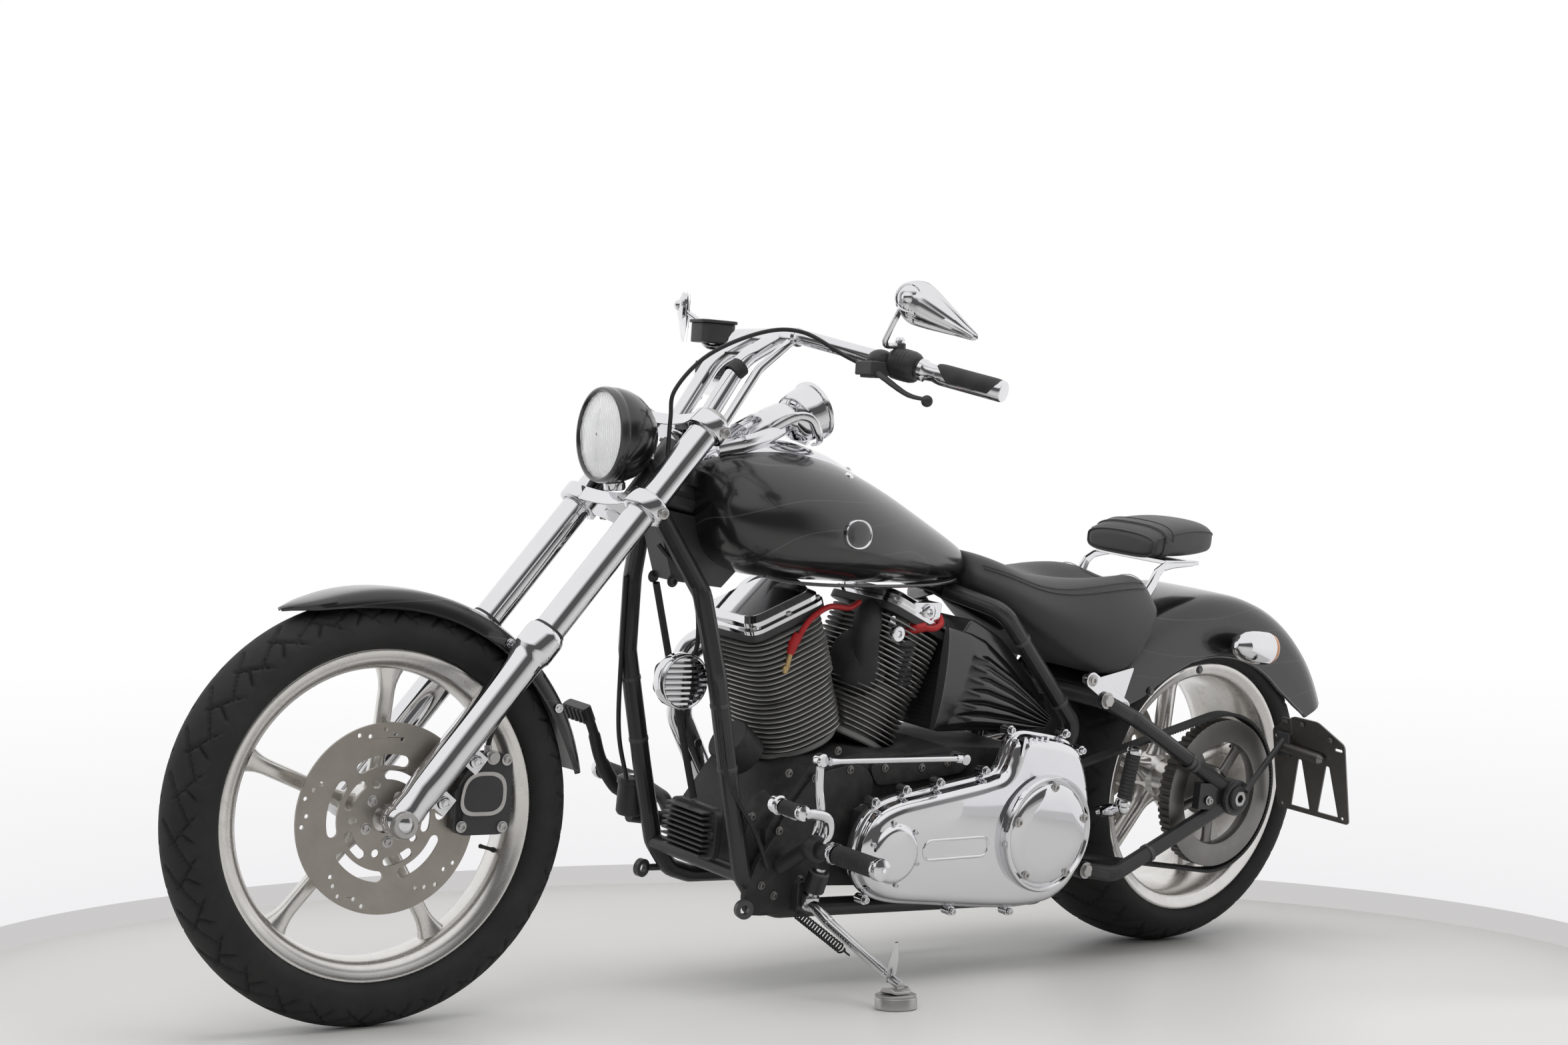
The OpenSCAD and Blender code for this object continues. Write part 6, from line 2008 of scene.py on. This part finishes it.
def passenger_pegs():
    rubber, metal = Shape(), Shape()
    for side in (1, -1):
        rubber_barrel(rubber, metal, (307, side * 202, 322), (297, side * 208, 434), 13.5)
        metal.lathe([(0, -12), (11, -12), (12, -8), (12, 8), (11, 12), (0, 12)],
                    aim((330, side * 164, 304), (312, side * 204, 316)) @ at(0, 0, 20), 32)
        metal.rod((330, side * 162, 304), (308, side * 204, 318), 9)
        metal.ball((306, side * 203, 318), (13, 13, 13))
    metal.make("passenger_peg_metal", "frame", "chrome", CHROME, stands=("passenger_pegs",))
    rubber.make("passenger_peg_rubbers", "frame", "rubber", RUBBER)


# ---------- side stand ----------

PUCK_TOP = 24.0
WORLD_UP = Matrix.Rotation(LEAN, 4, "X")


def side_stand():
    knee = Vector((1006, 168, 182))
    axis = Vector((0, 0.28, 0.96)).normalized()
    tip = Vector((1008, 402, (PUCK_TOP + 12 + 402 * sin(LEAN)) / cos(LEAN)))
    metal = Shape()
    metal.tube([knee + axis * 66, knee + axis * 12, knee - axis * 6], 9.8, 24)
    metal.lathe([(0, -12), (13, -12), (15, -9), (15, 9), (13, 13), (0, 13)], aim(knee, knee + axis), 36)
    path = bent([knee, knee + Vector((2, 60, -22)), tip + Vector((0, -24, 12)),
                 tip + Vector((0, 12, 3))], 40, 8)
    radii = [12 - 3 * i / (len(path) - 1) for i in range(len(path))]
    metal.tube(path, radii, 26, flat=0.82)
    # flat blade that the rider's heel catches
    blade = [tip + Vector(p) for p in ((0, -16, 4), (4, -8, 24), (9, 0, 50), (12, 4, 74))]
    metal.tube(blade, [7, 11, 9, 3.5], 20, flat=0.42)
    metal.make("side_stand_leg", "side_stand", "steel", SOFT_CHROME, place=BIKE,
               stands=("side_stand",))
    # ski foot, flat on the puck and turned up at its ends
    foot_y = tip.y * cos(LEAN) + tip.z * sin(LEAN)
    pad = Shape()
    rings = []
    for i in range(17):
        s = -20 + 40 * i / 16
        lift = 0.75 + 2.6 * max(0.0, (abs(s) - 12) / 8) ** 2
        half = 21 * sqrt(max(0.04, 1 - (s / 23) ** 4))
        rings.append([(s, -half, lift), (s, half, lift), (s, half, lift + 4), (s, half * 0.6, lift + 8),
                      (s, -half * 0.6, lift + 8), (s, -half, lift + 4)])
    pad.rings(rings, at(tip.x, foot_y, PUCK_TOP))
    pad.make("side_stand_foot", "side_stand", "steel", STEEL, place=BIKE @ WORLD_UP, bevel=1)
    coil = Shape()
    start, end = knee + Vector((30, -6, -14)), Vector((1030, 300, 132))
    place = aim(start, end)
    length = (end - start).length
    turns = 17
    helix = [(7.2 * cos(2 * pi * turns * i / 400), 7.2 * sin(2 * pi * turns * i / 400),
              12 + (length - 24) * i / 400) for i in range(401)]
    coil.tube(helix, 1.7, 7, place)
    coil.tube([(0, 0, -8), (0, 0, 4), (4, 0, 10), (7.2, 0, 13)], 1.7, 8, place)
    coil.tube([(7.2, 0, length - 13), (4, 0, length - 9), (0, 0, length - 3), (0, 0, length + 8)], 1.7,
              8, place)
    coil.make("stand_spring_coil", "side_stand", "frame_black", BLACK_WIRE, place=BIKE,
              stands=("stand_spring",))
    puck = Shape().lathe([(0, 0), (32, 0), (34, 2), (34, 17), (33, 19.5), (31.5, 20), (31.5, 21.5),
                          (33.4, 22), (33.4, 23.4), (32.6, 24), (22, 24), (0, 24)],
                         at(tip.x, foot_y, 0), 72)
    puck.make("stand_puck_turned", "frame", "steel", STEEL, place=BIKE @ WORLD_UP,
              stands=("stand_puck",))
    lug = Shape()
    hinge = knee + axis * 40
    lug.lathe([(9.9, -19), (16, -19), (18, -17), (18, 17), (16, 19), (9.9, 19)],
              aim(hinge, hinge + axis), 40, closed=True)
    lug.plate(rounded([(988, 158), (1024, 158), (1026, 214), (986, 214)], 8), 140, 158)
    lug.make("stand_bracket_lug", "frame", "frame_black", FRAME_BLACK, stands=("stand_bracket",),
             bevel=1.5)


# ---------- swingarm and rear axle ----------


def rear_end():
    steel, black = Shape(), Shape()
    for side in (1, -1):
        face = side * 220
        ring = [(8.2, face), (16, face), (18, face - side * 2), (18, face - side * 8),
                (8.2, face - side * 8)]
        steel.lathe(ring, AT_REAR, 6 if side > 0 else 40, closed=True)
        black.lathe([(12.8, side * 204), (33, side * 204), (34.5, side * 207), (34.5, side * 209),
                     (30, side * 212), (20, side * 212.5), (12.8, side * 212.5)], AT_REAR, 56,
                    closed=True)
        for a, b in (((10, 192, 335), (290, 192, 482)), ((10, 192, 307), (300, 192, 190))):
            a, b = (Vector((x, side * y, z)) for x, y, z in (a, b))
            for share in ((0.38, 0.42) if a.z > 320 else (0.7,)):
                spot = a.lerp(b, share)
                black.lathe([(14.8, -5), (17.2, -4), (17.2, 4), (14.8, 5)], aim(spot, b), 40,
                            closed=True)
        steel.bolt((70, side * 203, 321), (70, side * 190, 321), 6, 6)
        steel.hex_head((345, side * 170, 512), (345, side * 160, 512), 12, 8)
        steel.hex_head((352, side * 172, 196), (352, side * 162, 196), 12, 8)
    steel.make("rear_axle_nuts", "frame", "steel", STEEL, bevel=1)
    black.make("swingarm_collars", "frame", "frame_black", FRAME_BLACK)
    rod = Shape().tube([(60, -176, 372), (120, -182, 360), (330, -176, 300)], 7, 16)
    rod.ball((330, -176, 300), (11, 9, 11)).ball((66, -176, 372), (11, 9, 11))
    rod.make("brake_tie_rod", "frame", "steel", STEEL)
    caliper = Shape()
    outline = rounded([(72, 366), (152, 366), (152, 424), (118, 442), (72, 436)], 16, 5)
    caliper.plate(outline, -176, -146).plate(outline, -130, -124)
    caliper.plate([(72, 430), (118, 440), (110, 444), (72, 442)], -176, -124)
    caliper.make("rear_caliper_body", "frame", "frame_black", SATIN_BLACK, stands=("rear_caliper",),
                 bevel=3)
    # clamps on the frame's tubes
    clamps = Shape()
    for side in (1, -1):
        for a, b in (((1218, 126, 560), (1166, 126, 367)), ((585, 122, 668), (378, 122, 460))):
            a, b = (Vector((x, side * y, z)) for x, y, z in (a, b))
            for share in (0.25, 0.8):
                clamps.lathe([(15.5, -4), (17, -3), (17, 3), (15.5, 4)], aim(a.lerp(b, share), b), 32,
                             closed=True)
    for x, z in ((1252, 700), (1208, 706), (1278, 800)):
        clamps.bolt((x, 27, z), (x, 20, z), 7, 6)
        clamps.bolt((x, -27, z), (x, -20, z), 7, 6)
    clamps.make("frame_clamps", "frame", "frame_black", SATIN_BLACK)
    wires = Shape()
    wires.tube(smooth_path([(1262, 100, 700), (1240, 112, 620), (1222, 140, 520), (1190, 142, 400),
                            (1120, 146, 300), (1090, 150, 240)]), 4, 10)
    wires.tube(smooth_path([(1290, 30, 760), (1240, 70, 690), (1232, 84, 600), (1250, 70, 560)]), 4, 10)
    wires.tube(smooth_path([(1250, -20, 690), (1200, -30, 560), (1160, -20, 420), (1150, 10, 330)]), 6,
               10)
    wires.tube(smooth_path([(1176, -150, 330), (1210, -140, 420), (1236, -118, 560), (1262, -90, 690)]),
               4, 10)
    wires.make("frame_hoses", "frame", "rubber", BLACK_WIRE)


left_controls()
right_controls()
passenger_pegs()
side_stand()
rear_end()


# ---------- CAD nodes that stay in view ----------

NODE_FINISH = {
    "frame": FRAME_BLACK, "swingarm": FRAME_BLACK, "engine_case": ENGINE_BLACK,
    "front_cylinder": FINS, "rear_cylinder": FINS, "rocker_boxes": CHROME,
    "primary_cover": CHROME, "derby_cover": CHROME, "air_cleaner": CHROME,
    "exhaust_pipes": CHROME, "oil_tank_cover": GLOSS_BLACK, "fuel_tank": PAINT,
    "dash_console": CHROME, "speedometer": CHROME, "seat": LEATHER, "pillion_pad": LEATHER,
    "pillion_bracket": CHROME, "horn": CHROME, "regulator": SATIN_BLACK, "rear_fender": PAINT,
    "rear_signals": CHROME, "plate_bracket": SATIN_BLACK, "rear_axle": STEEL,
    "left_foot_control": CHROME, "right_foot_control": SATIN_BLACK, "passenger_pegs": CHROME,
    "drive_belt": RUBBER, "rear_caliper": SATIN_BLACK, "stand_bracket": FRAME_BLACK,
    "stand_puck": STEEL, "upper_clamp": CHROME, "lower_clamp": CHROME, "fork_tubes": CHROME,
    "fork_sliders": CHROME, "handlebar": CHROME, "grips": RUBBER, "hand_controls": SATIN_BLACK,
    "mirrors": CHROME, "headlight": GLOSS_BLACK, "front_fender": PAINT,
    "front_caliper": SATIN_BLACK, "front_axle": STEEL, "clutch_cable": BLACK_WIRE,
    "brake_hose": BLACK_WIRE, "side_stand": SOFT_CHROME, "stand_spring": BLACK_WIRE,
}
for node_name, finish in NODE_FINISH.items():
    node = frame["nodes"][node_name]
    node.data.materials.clear()
    node.data.materials.append(finish)

# ---------- camera, light and floor ----------


def stage_finish(name, low_shade, high_shade):
    """Backdrop that shows its own colour, with painted shade that makes it darker near the floor and
    lighter higher up, and is open from behind.
    """
    f = Finish(name)
    shown = f.add("LightPath", {}, {}, "Is Camera Ray") + f.add("LightPath", {}, {}, "Is Glossy Ray")
    shown = shown + f.add("LightPath", {}, {}, "Is Transmission Ray")
    height = f.add("SeparateXYZ", {}, {"Vector": f.where}, "Z")
    mist = f.noise(0.8, 2.0)
    # painted shade: the glow darkens towards the floor
    shade = f.blend(height.above(0.03, 0.5), low_shade, high_shade)
    lit = f.add("BsdfDiffuse", {}, {"Color": f.blend(mist, (0.78, 0.78, 0.78), (0.82, 0.82, 0.82)),
                                    "Roughness": 0.6})
    glow = f.add("Emission", {}, {"Color": shade, "Strength": 1.0})
    mixed = f.add("MixShader", {}, {0: shown, 1: lit, 2: glow})
    behind = f.add("NewGeometry", {}, {}, "Backfacing")
    clear = f.add("BsdfTransparent", {}, {})
    return f.end(f.add("MixShader", {}, {0: behind, 1: mixed, 2: clear}))


def floor_finish():
    f = Finish("pale_floor")
    cloudy = f.noise(0.9, 5.0, 0.6)
    scuffs = f.noise(34.0, 6.0, 0.7, f.stretched((1.0, 0.18, 1.0)))
    shade = f.blend(cloudy, (0.46, 0.455, 0.445), (0.53, 0.525, 0.515))
    shade = f.blend(scuffs.above(0.66, 0.12) * 0.25, shade, (0.33, 0.325, 0.32))
    rough = 0.30 + cloudy * 0.25
    return f.done(Base_Color=shade, Roughness=rough, Normal=f.bump(scuffs, 0.0006, 0.15))


def build_stage():
    floor = bpy.data.meshes.new("floor")
    reach = 14
    floor.from_pydata([(-reach, -reach, 0), (reach, -reach, 0), (reach, reach, 0),
                       (-reach, reach, 0)], [], [(0, 1, 2, 3)])
    floor.materials.append(floor_finish())
    ground = bpy.data.objects.new("floor", floor)
    wall_r, wall_h, skirting_h = 1.51, 1.2, 0.046
    centre = Vector((-0.06, -0.23))
    count = 120
    verts, faces, skirting = [], [], []
    for i in range(count + 1):
        t = 2 * pi * i / count
        x, y = centre.x + wall_r * cos(t), centre.y + wall_r * sin(t)
        verts += [(x, y, 0), (x, y, skirting_h), (x, y, wall_h)]
    for i in range(count):
        # the wall is open on the camera's side
        middle = 2 * pi * (i + 0.5) / count
        if cos(middle - radians(50)) > 0.25:
            continue
        a, b = i * 3, (i + 1) * 3
        skirting.append((a, a + 1, b + 1, b))
        faces.append((a + 1, a + 2, b + 2, b + 1))
    pieces = [ground]
    for name, quads, low, high in (("backdrop", faces, (0.87, 0.865, 0.88), (1.0, 1.0, 1.0)),
                                   ("skirting", skirting, (0.60, 0.59, 0.59), (0.62, 0.61, 0.61))):
        mesh = bpy.data.meshes.new(name)
        mesh.from_pydata(verts, [], quads)
        mesh.materials.append(stage_finish(name, low, high))
        pieces.append(bpy.data.objects.new(name, mesh))
    for piece in pieces:
        bpy.context.scene.collection.objects.link(piece)


def light(name, place, target, size, power, tall=None):
    lamp = bpy.data.lights.new(name, "AREA")
    lamp.shape = "RECTANGLE"
    lamp.size, lamp.size_y = size, tall or size
    lamp.energy = power
    piece = bpy.data.objects.new(name, lamp)
    piece.matrix_world = Matrix.Translation(place) @ (
        Vector(target) - Vector(place)).to_track_quat("-Z", "Y").to_matrix().to_4x4()
    # polished metal shows the wall and the hall, not the lamps
    piece.visible_glossy = False
    bpy.context.scene.collection.objects.link(piece)


def build_light():
    light("roof", (0.2, 0.4, 3.4), (0, 0, 0.4), 3.6, 120)
    light("key", (3.4, 3.0, 2.6), (0.1, 0, 0.5), 1.6, 60, 2.2)
    light("rear_fill", (-3.0, 2.4, 2.0), (0, 0, 0.5), 1.6, 40, 2.0)
    light("far_side", (0.4, -3.2, 2.2), (0, 0, 0.5), 2.6, 50, 1.6)
    world = bpy.data.worlds.new("studio")
    bpy.context.scene.world = world
    world.use_nodes = True
    sky = Finish("studio", world)
    white = sky.add("LightPath", {}, {}, "Is Camera Ray") + sky.add("LightPath", {}, {},
                                                                    "Is Transmission Ray")
    shiny = sky.add("LightPath", {}, {}, "Is Glossy Ray")
    way = sky.add("TexCoord", {}, {}, "Generated")
    # polished metal sees the white wall and ceiling, and a dim hall on the open side
    hall = sky.add("VectorMath", {"operation": "DOT_PRODUCT"}, {0: way, 1: (0.65, 0.76, 0.0)}, "Value")
    height = sky.add("SeparateXYZ", {}, {"Vector": way}, "Z")
    dim = hall.above(-0.10, 0.35) * (1.0 - height.above(0.34, 0.20))
    seen = 1.0 - dim * 0.90
    level = 0.50 + white * 0.50
    level = level * (1.0 - shiny) + seen * shiny
    back = sky.add("Background", {}, {"Color": (1, 1, 1, 1), "Strength": level})
    sky.end(back, "World")


def build_camera():
    lens = bpy.data.cameras.new("camera")
    lens.lens = 56.63
    lens.sensor_width = 36
    eye = bpy.data.objects.new("camera", lens)
    eye.location = (2.7826, 3.2478, 0.6013)
    eye.rotation_euler = (radians(92.564), 0, radians(140.92))
    bpy.context.scene.collection.objects.link(eye)
    bpy.context.scene.camera = eye


build_stage()
build_light()
build_camera()
bpy.context.scene.view_settings.view_transform = "Standard"
bpy.context.view_layer.update()
